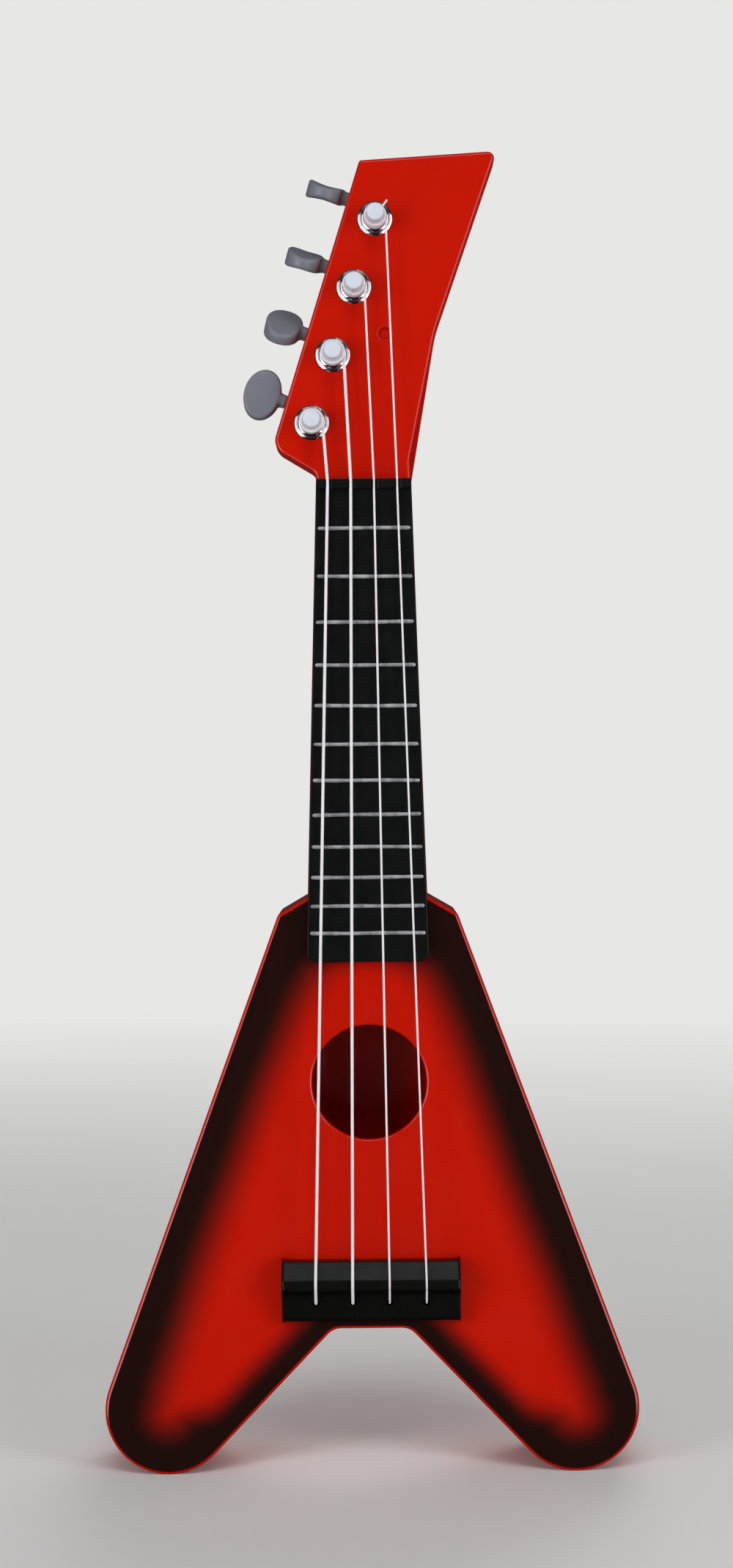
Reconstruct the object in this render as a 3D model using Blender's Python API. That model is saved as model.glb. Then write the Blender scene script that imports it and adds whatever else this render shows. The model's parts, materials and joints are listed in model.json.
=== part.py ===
"""A toy V-shaped guitar with a moulded two-part case and worm-geared tuners.

The guitar stands on its two wing tips: +Z runs up the neck, and the playing face looks
towards -Y. X = 0 is the body's plane of symmetry. Sizes below are in millimetres, and
every mesh is scaled by MM into metres as it is made.
"""

import math

import bmesh
import bpy
from mathutils import Matrix, Vector

MM = 0.001

# Depths of the whole guitar, along Y
FACE = -14.0
SPLIT = FACE + 8.0
BODY_BACK = FACE + 40.0
NECK_BACK = FACE + 19.0
HEEL_BACK = FACE + 27.0
HEAD_BACK = FACE + 16.0
WALL = 2.0
EDGE = 1.3
GAP = 0.3
SEAM = 0.15

# The case's outline: each corner is (x, z, radius), clockwise as seen from the front
HEAD_CORNERS = [
    (-15.6, 326.8, 3.0),
    (-29.9, 335.4, 5.5),
    (-0.5, 429.3, 1.2),
    (44.7, 431.96, 2.2),
    (24.0, 373.0, 40.0),
    (15.3, 331.0, 8.0),
]
BODY_CORNERS = [
    (19.6, 188.2, 1.0),
    (29.45, 182.5, 2.0),
    (120.3, -65.3, 20.8),
    (12.47, 47.0, 6.0),
    (-12.47, 47.0, 6.0),
    (-120.3, -65.3, 20.8),
    (-29.45, 182.5, 2.0),
    (-19.6, 188.2, 1.0),
]
ARC_STEP = math.radians(15)

SOUND_HOLE = (0.0, 127.6)
SOUND_HOLE_RADIUS = 18.65
SOUND_HOLE_RIM = 1.0

# Neck and fretboard
NUT_Z = 324.5
NUT_LENGTH = 3.4
NUT_HALF_WIDTH = 15.5
BOARD_END_Z = 167.2
BOARD_END_HALF_WIDTH = 19.9
BOARD_CHAMFER = 2.0
BOARD_THICK = 3.5
FRET_COUNT = 12
FRET_ZERO_Z = 325.1
SCALE_LENGTH = 297.0
FRET_WIDTH = 1.3
FRET_RISE = 0.8
FRET_INSET = 0.8
NUT_RISE = 2.1
SLOT_WIDTH = 2.6
SLOT_SPACING = 7.55
SLOT_FLOOR = FACE - 4.4

# Bridge: (z, height in front of the face) down the profile
BRIDGE_HALF_WIDTH = 29.0
BRIDGE_PROFILE = [
    (69.9, 0.3),
    (69.9, 3.8),
    (69.3, 4.6),
    (63.9, 8.1),
    (61.5, 8.1),
    (59.5, 5.0),
    (51.6, 3.9),
    (50.2, 2.4),
    (50.2, 0.3),
]
BRIDGE_CENTRE = (60.0, 2.5)
ANCHOR_Z = 56.5
ANCHOR_RADIUS = 1.2
ANCHOR_FLOOR = 2.0
BRIDGE_STRING_SPACING = 12.0

# Strings, in the order of the posts they run to, top post first
STRING_RADII = [0.33, 0.35, 0.5, 0.5]
STRING_SIDESTEP = -0.45
NUT_STRING_HEIGHT = 5.2
POST_STRING_HEIGHT = 4.0

# Tuners: the post nearest the tip comes first, and the row is parallel to the left edge
TUNER_COUNT = 4
TOP_POST = Vector((4.5, 0.0, 409.9))
BOTTOM_POST = Vector((-16.8, 0.0, 343.3))
OUTWARD = Vector((-0.9556, 0.0, 0.2947)).normalized()
UPWARD = Vector((0.2947, 0.0, 0.9556)).normalized()
FRONTWARD = Vector((0.0, -1.0, 0.0))
KNOB_REST_ANGLES = [76.0, 69.0, 48.0, 4.0]

# Worm and gear: one thread start turns the gear by one tooth
GEAR_TEETH = 14
GEAR_RADIUS = 3.5
WORM_RADIUS = 1.8
WORM_PITCH = 2 * math.pi * GEAR_RADIUS / GEAR_TEETH
TOOTH_DEPTH = 0.5
TOOTH_SHARE = 0.35
TOOTH_TAPER = 0.12
GEAR_THICK = 3.5
WORM_TURNS = 2.4
SHAFT_RADIUS = 1.2
SHAFT_HOLE_RADIUS = SHAFT_RADIUS + GAP
SHAFT_INNER_END = -8.0
SHAFT_OUTER_END = 19.3
WALL_OUTER = 10.6
BEARING_RIB = (-6.9, -5.3)
RIB_HALF_WIDTH = 3.6

KNOB_CENTRE = 18.7
KNOB_LENGTH = 12.2
KNOB_WIDTH = 16.9
KNOB_THICK = 6.4
COLLAR_RADIUS = 2.15
COLLAR_GAP = 1.75

POST_RADIUS = 2.2
BUSHING_SLEEVE_RADIUS = 3.6
FLANGE_RADIUS = 5.7
POST_SCREW_RADIUS = 0.9
WINDING_TURNS = 3
WINDING_INNER = 2.9
WINDING_STRING = 0.45

# Screws
CASE_SCREWS = [
    (-64.0, 27.0),
    (64.0, 27.0),
    (-48.0, 92.0),
    (48.0, 92.0),
    (-22.0, 158.0),
    (22.0, 158.0),
    (0.0, 225.0),
    (0.0, 285.0),
    (3.0, 338.0),
    (7.4, 372.4),
    (31.0, 418.0),
]
RECESS = (7.4, 372.4)
BRIDGE_SCREWS = [(-24.0, 60.0), (24.0, 60.0)]
BOARD_SCREWS = [(0.0, 178.0), (0.0, 255.0), (0.0, 314.0)]
SCREW_RADIUS = 1.4
SCREW_HOLE_RADIUS = SCREW_RADIUS + GAP
HEAD_RADIUS = 2.7
HEAD_HEIGHT = 1.8
WELL_RADIUS = HEAD_RADIUS + 0.4
SEAT_DEPTH = 4.0
FRONT_BOSS_RADIUS = 3.3
BACK_BOSS_RADIUS = 4.7

MATERIALS = {
    "red_plastic": ((0.50, 0.006, 0.001), 0.18, 0.0),
    "black_plastic": ((0.008, 0.009, 0.008), 0.35, 0.0),
    "grey_plastic": ((0.17, 0.18, 0.21), 0.42, 0.0),
    "white_plastic": ((0.72, 0.75, 0.82), 0.3, 0.0),
    "nylon": ((0.80, 0.82, 0.86), 0.35, 0.0),
    "chrome": ((0.75, 0.76, 0.78), 0.12, 1.0),
    "steel": ((0.50, 0.50, 0.52), 0.3, 1.0),
    "brass": ((0.62, 0.45, 0.18), 0.3, 1.0),
}


def clear_scene():
    for obj in list(bpy.data.objects):
        bpy.data.objects.remove(obj)


def material(name):
    found = bpy.data.materials.get(name)
    if found:
        return found
    colour, roughness, metallic = MATERIALS[name]
    made = bpy.data.materials.new(name)
    made.use_nodes = True
    shader = made.node_tree.nodes["Principled BSDF"]
    shader.inputs["Base Color"].default_value = (*colour, 1.0)
    shader.inputs["Roughness"].default_value = roughness
    shader.inputs["Metallic"].default_value = metallic
    return made


# Outlines in the XZ plane


def outline(corners, inset=0.0):
    """A closed outline from clockwise (x, z, radius) corners, moved inwards by inset.

    Every corner keeps its number of points at any inset, so outlines can be lofted.
    """
    points = [Vector(corner[:2]) for corner in corners]
    count = len(points)
    made = []
    for i, (_, _, radius) in enumerate(corners):
        here = points[i]
        before = (here - points[i - 1]).normalized()
        after = (points[(i + 1) % count] - here).normalized()
        turn = math.atan2(before.cross(after), before.dot(after))
        inward = Vector((before.y, -before.x))
        slide = inset * math.tan(-turn / 2)
        corner = here + inward * inset - before * slide
        # A clockwise turn is an outer corner, whose radius shrinks as the outline moves in
        fillet = max(radius - inset, 0.3) if turn < 0 else radius + inset
        reach = fillet * math.tan(abs(turn) / 2)
        side = 1 if turn < 0 else -1
        centre = corner - before * reach + inward * fillet * side
        first = corner - before * reach - centre
        steps = max(1, round(abs(turn) / ARC_STEP))
        for k in range(steps + 1):
            made.append(centre + Matrix.Rotation(turn * k / steps, 2) @ first)
    return made


def at_depth(points, y):
    return [Vector((p.x, y, p.y)) for p in points]


# Solids


def fill_rings(bm, rings):
    """Joins closed rings of equal length into one capped solid."""
    loops = [[bm.verts.new(point * MM) for point in ring] for ring in rings]
    for lower, upper in zip(loops, loops[1:]):
        for i in range(len(lower)):
            j = (i + 1) % len(lower)
            bm.faces.new((lower[i], lower[j], upper[j], upper[i]))
    bm.faces.new(loops[0])
    bm.faces.new(loops[-1])


def mesh_of(name, solids, smooth=None):
    """A mesh that holds each solid, given as its list of rings."""
    bm = bmesh.new()
    for rings in solids:
        fill_rings(bm, rings)
    bmesh.ops.recalc_face_normals(bm, faces=bm.faces)
    mesh = bpy.data.meshes.new(name)
    bm.to_mesh(mesh)
    bm.free()
    if smooth is not None:
        mesh.shade_smooth()
        mesh.set_sharp_from_angle(angle=math.radians(smooth))
    return mesh


def turned(profile, sides):
    """The rings of a round solid about local Z, from (distance along Z, radius) pairs."""
    rings = []
    for along, radius in profile:
        angles = [2 * math.pi * k / sides for k in range(sides)]
        rings.append(
            [Vector((radius * math.cos(a), radius * math.sin(a), along)) for a in angles]
        )
    return rings


def moved(rings, matrix):
    return [[matrix @ point for point in ring] for ring in rings]


def box(low, high):
    """The rings of a box between two corners."""
    corners = [(low[0], low[1]), (high[0], low[1]), (high[0], high[1]), (low[0], high[1])]
    return [[Vector((x, y, z)) for x, y in corners] for z in (low[2], high[2])]


def frame_at(origin, x_axis, y_axis, z_axis):
    rotation = Matrix((x_axis, y_axis, z_axis)).transposed().to_4x4()
    return Matrix.Translation(origin) @ rotation


def towards_front(x, z, y=SPLIT):
    """Local Z runs towards the front, local X to the right."""
    axes = (Vector((1, 0, 0)), Vector((0, 0, 1)), FRONTWARD)
    return frame_at(Vector((x, y, z)), *axes)


def post_frame(post):
    return frame_at(post, UPWARD, OUTWARD, FRONTWARD)


def knob_frame(post):
    foot = post + UPWARD * (GEAR_RADIUS + WORM_RADIUS)
    return frame_at(foot, -UPWARD, FRONTWARD, OUTWARD)


def posts():
    """Each post's axis where it crosses the case's parting plane."""
    for i in range(TUNER_COUNT):
        place = TOP_POST.lerp(BOTTOM_POST, i / (TUNER_COUNT - 1))
        yield Vector((place.x, SPLIT, place.z))


# Objects


def piece(name, mesh, material_name, matrix=None, parent=None):
    obj = bpy.data.objects.new(name, mesh)
    bpy.context.collection.objects.link(obj)
    if not mesh.materials:
        mesh.materials.append(material(material_name))
    if parent is not None:
        obj.parent = parent
    if matrix is not None:
        translation = Matrix.Translation(matrix.translation * MM)
        obj.matrix_basis = translation @ matrix.to_3x3().to_4x4()
    return obj


def axis_empty(name, matrix):
    empty = bpy.data.objects.new(name, None)
    empty.empty_display_size = 5 * MM
    bpy.context.collection.objects.link(empty)
    translation = Matrix.Translation(matrix.translation * MM)
    empty.matrix_basis = translation @ matrix.to_3x3().to_4x4()
    return empty


def helper(name, solids):
    """A hidden cutter or addition for a Boolean."""
    obj = bpy.data.objects.new(name, mesh_of(name, solids))
    bpy.context.collection.objects.link(obj)
    obj.hide_render = True
    obj.display_type = "WIRE"
    return obj


def boolean(target, operation, name, solids):
    modifier = target.modifiers.new(name, "BOOLEAN")
    modifier.operation = operation
    modifier.solver = "EXACT"
    modifier.object = helper(f"{target.name}_{name}", solids)


def add(target, name, solids):
    boolean(target, "UNION", name, solids)


def cut(target, name, solids):
    boolean(target, "DIFFERENCE", name, solids)


def combined_mesh(name, rings, additions=(), cuts=()):
    """The mesh of one solid with others joined to it and cut from it, for pieces that repeat."""
    blank = bpy.data.objects.new(name, mesh_of(name, [rings]))
    bpy.context.collection.objects.link(blank)
    if additions:
        add(blank, "additions", additions)
    if cuts:
        cut(blank, "cuts", cuts)
    graph = bpy.context.evaluated_depsgraph_get()
    mesh = bpy.data.meshes.new_from_object(blank.evaluated_get(graph))
    mesh.name = name
    bpy.data.objects.remove(blank)
    return mesh


# The case


def shaft_holes():
    """The worm shafts' running holes, through the case wall and the inner bearing ribs."""
    profile = [(SHAFT_INNER_END - 1, SHAFT_HOLE_RADIUS), (WALL_OUTER + 3, SHAFT_HOLE_RADIUS)]
    return [moved(turned(profile, 12), knob_frame(post)) for post in posts()]


def bearing_ribs(near, far):
    """A rib across each worm shaft's inner end, between two depths."""
    made = []
    for post in posts():
        frame = knob_frame(post)
        low = (-RIB_HALF_WIDTH, SPLIT - far, BEARING_RIB[0])
        high = (RIB_HALF_WIDTH, SPLIT - near, BEARING_RIB[1])
        made.append(moved(box(low, high), frame))
    return made


def make_front_shell():
    corners = HEAD_CORNERS + BODY_CORNERS
    rim = SPLIT - SEAM
    rings = [
        at_depth(outline(corners), rim),
        at_depth(outline(corners), FACE + EDGE),
        at_depth(outline(corners, EDGE * 0.3), FACE + EDGE * 0.3),
        at_depth(outline(corners, EDGE), FACE),
    ]
    shell = piece("front_shell", mesh_of("front_shell", [rings]), "red_plastic")
    inner = outline(corners, WALL)
    cut(shell, "cavity", [[at_depth(inner, FACE + WALL), at_depth(inner, SPLIT + 1)]])

    boss = [(SEAM + GAP, FRONT_BOSS_RADIUS), (SPLIT - FACE - WALL / 2, FRONT_BOSS_RADIUS)]
    bosses = [moved(turned(boss, 10), towards_front(x, z)) for x, z in CASE_SCREWS]
    add(shell, "bosses", bosses + bearing_ribs(FACE + WALL / 2, SPLIT - SEAM - GAP))

    thread = [(-1.0, SCREW_HOLE_RADIUS), (SPLIT - FACE - WALL - GAP, SCREW_HOLE_RADIUS)]
    through = [(0.0, SCREW_HOLE_RADIUS), (SPLIT - FACE + 1, SCREW_HOLE_RADIUS)]
    sleeve = [
        (SPLIT - FACE - WALL - 1, BUSHING_SLEEVE_RADIUS + GAP),
        (SPLIT - FACE + 1, BUSHING_SLEEVE_RADIUS + GAP),
    ]
    mouth = [
        (0.5, SOUND_HOLE_RADIUS),
        (SPLIT - FACE - SOUND_HOLE_RIM, SOUND_HOLE_RADIUS),
        (SPLIT - FACE, SOUND_HOLE_RADIUS + SOUND_HOLE_RIM),
        (SPLIT - FACE + 1, SOUND_HOLE_RADIUS + 2 * SOUND_HOLE_RIM),
    ]
    recess = [(SPLIT - FACE - 0.6, 1.9), (SPLIT - FACE, 2.5), (SPLIT - FACE + 0.6, 3.1)]
    holes = [moved(turned(thread, 10), towards_front(x, z)) for x, z in CASE_SCREWS]
    for x, z in BRIDGE_SCREWS + BOARD_SCREWS:
        holes.append(moved(turned(through, 10), towards_front(x, z)))
    for post in posts():
        holes.append(moved(turned(sleeve, 16), towards_front(post.x, post.z)))
    holes.append(moved(turned(mouth, 28), towards_front(*SOUND_HOLE)))
    holes.append(moved(turned(recess, 16), towards_front(*RECESS)))
    cut(shell, "holes", holes + shaft_holes())


def neck_half_width(z):
    top_x, top_z, _ = HEAD_CORNERS[-1]
    low_x, low_z, _ = BODY_CORNERS[0]
    return top_x + (low_x - top_x) * (top_z - z) / (top_z - low_z)


def neck_sections(inset=0.0, overrun=0.0):
    """Half-round sections of the neck's back, thick at the heel and thin at the headstock."""
    stations = [
        (180.0 - overrun, HEEL_BACK),
        (189.0, HEEL_BACK),
        (197.0, HEEL_BACK - 3.5),
        (207.0, NECK_BACK + 1.0),
        (220.0, NECK_BACK),
        (314.0, NECK_BACK - 1.0),
        (324.0, HEAD_BACK),
        (332.0 + overrun, HEAD_BACK - 1.5),
    ]
    front = SPLIT + SEAM - overrun
    rings = []
    for z, back in stations:
        width = neck_half_width(min(z, 326.0)) - inset
        ring = []
        steps = 10
        for k in range(steps + 1):
            angle = math.pi * k / steps
            depth = (back - inset - SPLIT - SEAM) * math.sin(angle) ** 0.8
            y = SPLIT + SEAM + depth if 0 < k < steps else front
            ring.append(Vector((-width * math.cos(angle), y, z)))
        rings.append(ring)
    return rings


def make_back_shell():
    rim = SPLIT + SEAM
    rings = [
        at_depth(outline(BODY_CORNERS), rim),
        at_depth(outline(BODY_CORNERS), BODY_BACK - 2 * EDGE),
        at_depth(outline(BODY_CORNERS, EDGE * 0.6), BODY_BACK - EDGE * 0.6),
        at_depth(outline(BODY_CORNERS, 2 * EDGE), BODY_BACK),
    ]
    shell = piece("back_shell", mesh_of("back_shell", [rings]), "red_plastic")
    head = HEAD_CORNERS[:-1] + [(15.3, 322.0, 0.5), (-15.5, 322.0, 0.5)]
    head_rings = [
        at_depth(outline(head), rim),
        at_depth(outline(head), HEAD_BACK - EDGE),
        at_depth(outline(head, EDGE * 0.3), HEAD_BACK - EDGE * 0.3),
        at_depth(outline(head, EDGE), HEAD_BACK),
    ]
    add(shell, "headstock", [head_rings])
    add(shell, "neck", [neck_sections()])

    body_cavity = outline(BODY_CORNERS, WALL)
    head_cavity = outline(head, WALL)
    back = BODY_BACK - WALL
    cut(shell, "body_cavity", [[at_depth(body_cavity, rim - 1), at_depth(body_cavity, back)]])
    back = HEAD_BACK - WALL
    cut(shell, "head_cavity", [[at_depth(head_cavity, rim - 1), at_depth(head_cavity, back)]])
    cut(shell, "neck_cavity", [neck_sections(inset=WALL, overrun=4.0)])

    bosses = []
    wells = []
    for x, z in CASE_SCREWS:
        back = case_back(z)
        boss = [(-SEAM - GAP, BACK_BOSS_RADIUS), (SPLIT - back + WALL / 2, BACK_BOSS_RADIUS)]
        well = [
            (2.0, SCREW_HOLE_RADIUS),
            (-SEAT_DEPTH, SCREW_HOLE_RADIUS),
            (-SEAT_DEPTH - 0.01, WELL_RADIUS),
            (SPLIT - back - 2, WELL_RADIUS),
        ]
        bosses.append(moved(turned(boss, 10), towards_front(x, z)))
        wells.append(moved(turned(well, 10), towards_front(x, z)))
    add(shell, "bosses", bosses + bearing_ribs(SPLIT + SEAM + GAP, HEAD_BACK - WALL / 2))
    cut(shell, "wells", wells + shaft_holes())


def case_back(z):
    """The depth of the case's back behind a screw."""
    if z < BODY_CORNERS[0][1]:
        return BODY_BACK
    return NECK_BACK if z < NUT_Z else HEAD_BACK


# Fretboard and bridge


def board_half_width(z):
    run = (NUT_Z - z) / (NUT_Z - BOARD_END_Z)
    return NUT_HALF_WIDTH + (BOARD_END_HALF_WIDTH - NUT_HALF_WIDTH) * run


def make_fretboard():
    end = BOARD_END_Z
    wide = BOARD_END_HALF_WIDTH
    cut_in = wide - BOARD_CHAMFER
    right = [
        (NUT_HALF_WIDTH, NUT_Z),
        (wide, end + BOARD_CHAMFER),
        (cut_in, end),
    ]
    plan = [Vector(p) for p in right] + [Vector((-x, z)) for x, z in reversed(right)]
    rings = [at_depth(plan, FACE - GAP), at_depth(plan, FACE - BOARD_THICK)]
    board = piece("fretboard", mesh_of("fretboard", [rings]), "black_plastic")

    ridges = []
    foot_y = FACE - BOARD_THICK + 0.4
    crest_y = FACE - BOARD_THICK - FRET_RISE
    for n in range(1, FRET_COUNT + 1):
        z = FRET_ZERO_Z - SCALE_LENGTH * (1 - 2 ** (-n / 12))
        reach = board_half_width(z) - FRET_INSET
        ridge = []
        for y, half in ((foot_y, FRET_WIDTH / 2), (crest_y, FRET_WIDTH / 4)):
            corners = [(-reach, -half), (-reach, half), (reach, half), (reach, -half)]
            ridge.append([Vector((x, y, z + dz)) for x, dz in corners])
        ridges.append(ridge)
    nut_low = (-NUT_HALF_WIDTH, FACE - BOARD_THICK - NUT_RISE, NUT_Z - NUT_LENGTH)
    nut_high = (NUT_HALF_WIDTH, foot_y, NUT_Z - 0.2)
    add(board, "ridges", ridges + [box(nut_low, nut_high)])

    slots = []
    for k in range(len(STRING_RADII)):
        x = SLOT_SPACING * (k - 1.5)
        low = (x - SLOT_WIDTH / 2, FACE - 10, NUT_Z - NUT_LENGTH - 1)
        high = (x + SLOT_WIDTH / 2, SLOT_FLOOR, NUT_Z + 1)
        slots.append(box(low, high))
    top = SPLIT - FACE + BOARD_THICK - 0.8
    hole = [(SPLIT - FACE - 1, SCREW_HOLE_RADIUS), (top, SCREW_HOLE_RADIUS)]
    slots += [moved(turned(hole, 10), towards_front(x, z)) for x, z in BOARD_SCREWS]
    cut(board, "slots", slots)


def make_bridge():
    middle_z, middle_height = BRIDGE_CENTRE
    rings = []
    ends = [(-1.0, 0.9), (-0.97, 1.0), (0.97, 1.0), (1.0, 0.9)]
    for share, scale in ends:
        ring = []
        for z, height in BRIDGE_PROFILE:
            z = middle_z + (z - middle_z) * scale
            height = GAP if height == GAP else GAP + (height - GAP) * scale
            ring.append(Vector((share * BRIDGE_HALF_WIDTH, FACE - height, z)))
        rings.append(ring)
    bridge = piece("bridge", mesh_of("bridge", [rings]), "black_plastic")

    start = SPLIT - FACE
    anchor = [(start + ANCHOR_FLOOR, ANCHOR_RADIUS), (start + 8, ANCHOR_RADIUS)]
    thread = [(start - 1, SCREW_HOLE_RADIUS), (start + 3.4, SCREW_HOLE_RADIUS)]
    holes = [moved(turned(thread, 10), towards_front(x, z)) for x, z in BRIDGE_SCREWS]
    for k in range(len(STRING_RADII)):
        x = BRIDGE_STRING_SPACING * (k - 1.5)
        holes.append(moved(turned(anchor, 8), towards_front(x, ANCHOR_Z)))
    cut(bridge, "holes", holes)


# Tuners


def worm_thread():
    """A tapered thread wound right-handed on the worm, its middle turn facing the gear."""
    steps = 10
    root = WORM_RADIUS - TOOTH_DEPTH - 0.3
    crest = WORM_RADIUS + TOOTH_DEPTH
    half = WORM_PITCH * TOOTH_SHARE / 2
    profile = [(root, -half - 0.25), (root, half + 0.25)]
    profile += [(crest, half - TOOTH_TAPER), (crest, -half + TOOTH_TAPER)]
    rings = []
    count = round(WORM_TURNS * steps)
    for k in range(count + 1):
        angle = 2 * math.pi * (k / steps - WORM_TURNS / 2)
        along = WORM_PITCH * angle / (2 * math.pi)
        turn = Vector((math.cos(angle), math.sin(angle), 0.0))
        rings.append([turn * radius + Vector((0, 0, along + s)) for radius, s in profile])
    return rings


def worm_shaft_mesh():
    """The shaft, its thrust flange and its thread, joined into one solid."""
    core = WORM_RADIUS - TOOTH_DEPTH
    half_worm = WORM_PITCH * (WORM_TURNS + 1) / 2
    profile = [
        (SHAFT_INNER_END, SHAFT_RADIUS - 0.3),
        (SHAFT_INNER_END + 0.4, SHAFT_RADIUS),
        (-half_worm, SHAFT_RADIUS),
        (-half_worm + 0.2, core),
        (half_worm - 0.2, core),
        (half_worm, SHAFT_RADIUS),
        (5.9, SHAFT_RADIUS),
        (6.1, 2.6),
        (7.4, 2.6),
        (7.6, SHAFT_RADIUS),
        (SHAFT_OUTER_END, SHAFT_RADIUS),
    ]
    return combined_mesh("worm_shaft", turned(profile, 12), additions=[worm_thread()])


def gear_mesh():
    """A ring of slanted teeth with a gap towards local +X, where the worm runs."""
    pitch = 2 * math.pi / GEAR_TEETH
    half = pitch * TOOTH_SHARE / 2
    taper = TOOTH_TAPER / GEAR_RADIUS
    root = GEAR_RADIUS - TOOTH_DEPTH
    tip = GEAR_RADIUS + TOOTH_DEPTH
    slant = WORM_PITCH / (2 * math.pi * WORM_RADIUS) / GEAR_RADIUS
    rings = []
    for height in (-GEAR_THICK / 2, 0.0, GEAR_THICK / 2):
        ring = []
        for tooth in range(GEAR_TEETH):
            middle = pitch * (tooth + 0.5) + slant * height
            corners = [(root, -half - taper), (tip, -half + taper)]
            corners += [(tip, half - taper), (root, half + taper)]
            for radius, offset in corners:
                angle = middle + offset
                point = (radius * math.cos(angle), radius * math.sin(angle), height)
                ring.append(Vector(point))
        rings.append(ring)
    bore = POST_SCREW_RADIUS + GAP
    hole = turned([(-GEAR_THICK, bore), (GEAR_THICK, bore)], 12)
    return combined_mesh("post_gear", rings, cuts=[hole])


def post_mesh():
    """A string post about local Z, whose zero is the parting plane, with a blind hole below."""
    face = SPLIT - FACE
    bore = POST_SCREW_RADIUS + GAP
    low = GEAR_THICK / 2 + GAP
    profile = [
        (low + 3.0, bore * 0.5),
        (low + 2.6, bore),
        (low, bore),
        (low, POST_RADIUS),
        (face + 2.2, POST_RADIUS),
        (face + 2.4, 3.9),
        (face + 3.0, 3.9),
        (face + 3.3, 2.6),
        (face + 6.6, 2.6),
        (face + 7.0, 3.05),
        (face + 9.6, 2.9),
        (face + 10.2, 2.4),
        (face + 10.6, 1.2),
    ]
    return mesh_of("string_post", [turned(profile, 14)], smooth=35)


def closed_ring_mesh(name, profile, sides):
    """A turned piece with a hole down its middle, from a closed profile."""
    bm = bmesh.new()
    rings = turned(profile, sides)
    loops = [[bm.verts.new(point * MM) for point in ring] for ring in rings]
    for k, lower in enumerate(loops):
        upper = loops[(k + 1) % len(loops)]
        for i in range(sides):
            j = (i + 1) % sides
            bm.faces.new((lower[i], lower[j], upper[j], upper[i]))
    bmesh.ops.recalc_face_normals(bm, faces=bm.faces)
    mesh = bpy.data.meshes.new(name)
    bm.to_mesh(mesh)
    bm.free()
    mesh.shade_smooth()
    mesh.set_sharp_from_angle(angle=math.radians(35))
    return mesh


def bushing_mesh():
    """A stepped flange on the face and a sleeve through it."""
    face = SPLIT - FACE
    bore = POST_RADIUS + GAP
    profile = [
        (face - WALL - 1.2, bore),
        (face - WALL - 1.2, BUSHING_SLEEVE_RADIUS),
        (face + GAP, BUSHING_SLEEVE_RADIUS),
        (face + GAP, FLANGE_RADIUS),
        (face + 0.9, FLANGE_RADIUS),
        (face + 1.1, 4.7),
        (face + 1.9, 4.3),
        (face + 1.9, bore),
    ]
    return closed_ring_mesh("bushing", profile, 16)


def winding_mesh():
    """The string's turns round a post."""
    face = SPLIT - FACE
    pitch = 2 * WINDING_STRING
    first = POST_STRING_HEIGHT
    top = first + pitch * (WINDING_TURNS - 0.5)
    bottom = first - WINDING_STRING
    profile = [(face + bottom, WINDING_INNER)]
    for turn in range(WINDING_TURNS):
        middle = first + pitch * turn
        profile.append((face + middle - WINDING_STRING * 0.9, WINDING_INNER + 0.5))
        profile.append((face + middle, WINDING_INNER + pitch))
    profile.append((face + top - 0.05, WINDING_INNER + 0.5))
    profile.append((face + top, WINDING_INNER))
    return closed_ring_mesh("string_winding", profile, 14)


def knob_mesh():
    """A flat oval paddle with a collar on its inner side and a blind hole for the shaft."""
    sides = 20
    layers = [(-1.0, 0.86), (-0.7, 1.0), (0.7, 1.0), (1.0, 0.86)]
    rings = []
    for level, scale in layers:
        ring = []
        for k in range(sides):
            angle = 2 * math.pi * k / sides
            x = KNOB_WIDTH / 2 * scale * math.cos(angle)
            z = KNOB_LENGTH / 2 * scale * math.sin(angle)
            ring.append(Vector((x, level * KNOB_THICK / 2, KNOB_CENTRE + z)))
        rings.append(ring)
    start = WALL_OUTER + COLLAR_GAP
    collar = turned([(start, COLLAR_RADIUS), (KNOB_CENTRE - 4, COLLAR_RADIUS)], 12)
    bore = [(WALL_OUTER, SHAFT_HOLE_RADIUS), (SHAFT_OUTER_END + GAP, SHAFT_HOLE_RADIUS)]
    return combined_mesh("tuning_knob", rings, additions=[collar], cuts=[turned(bore, 12)])


def screw_mesh(name, length, radius=SCREW_RADIUS, head_radius=HEAD_RADIUS):
    """A pan-head screw: the shank runs along local +Z from the underside of the head."""
    profile = [
        (-HEAD_HEIGHT, head_radius * 0.55),
        (-HEAD_HEIGHT * 0.6, head_radius),
        (0.0, head_radius),
        (0.0, radius),
        (length - 0.8, radius),
        (length, radius * 0.4),
    ]
    return mesh_of(name, [turned(profile, 10)], smooth=40)


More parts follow.
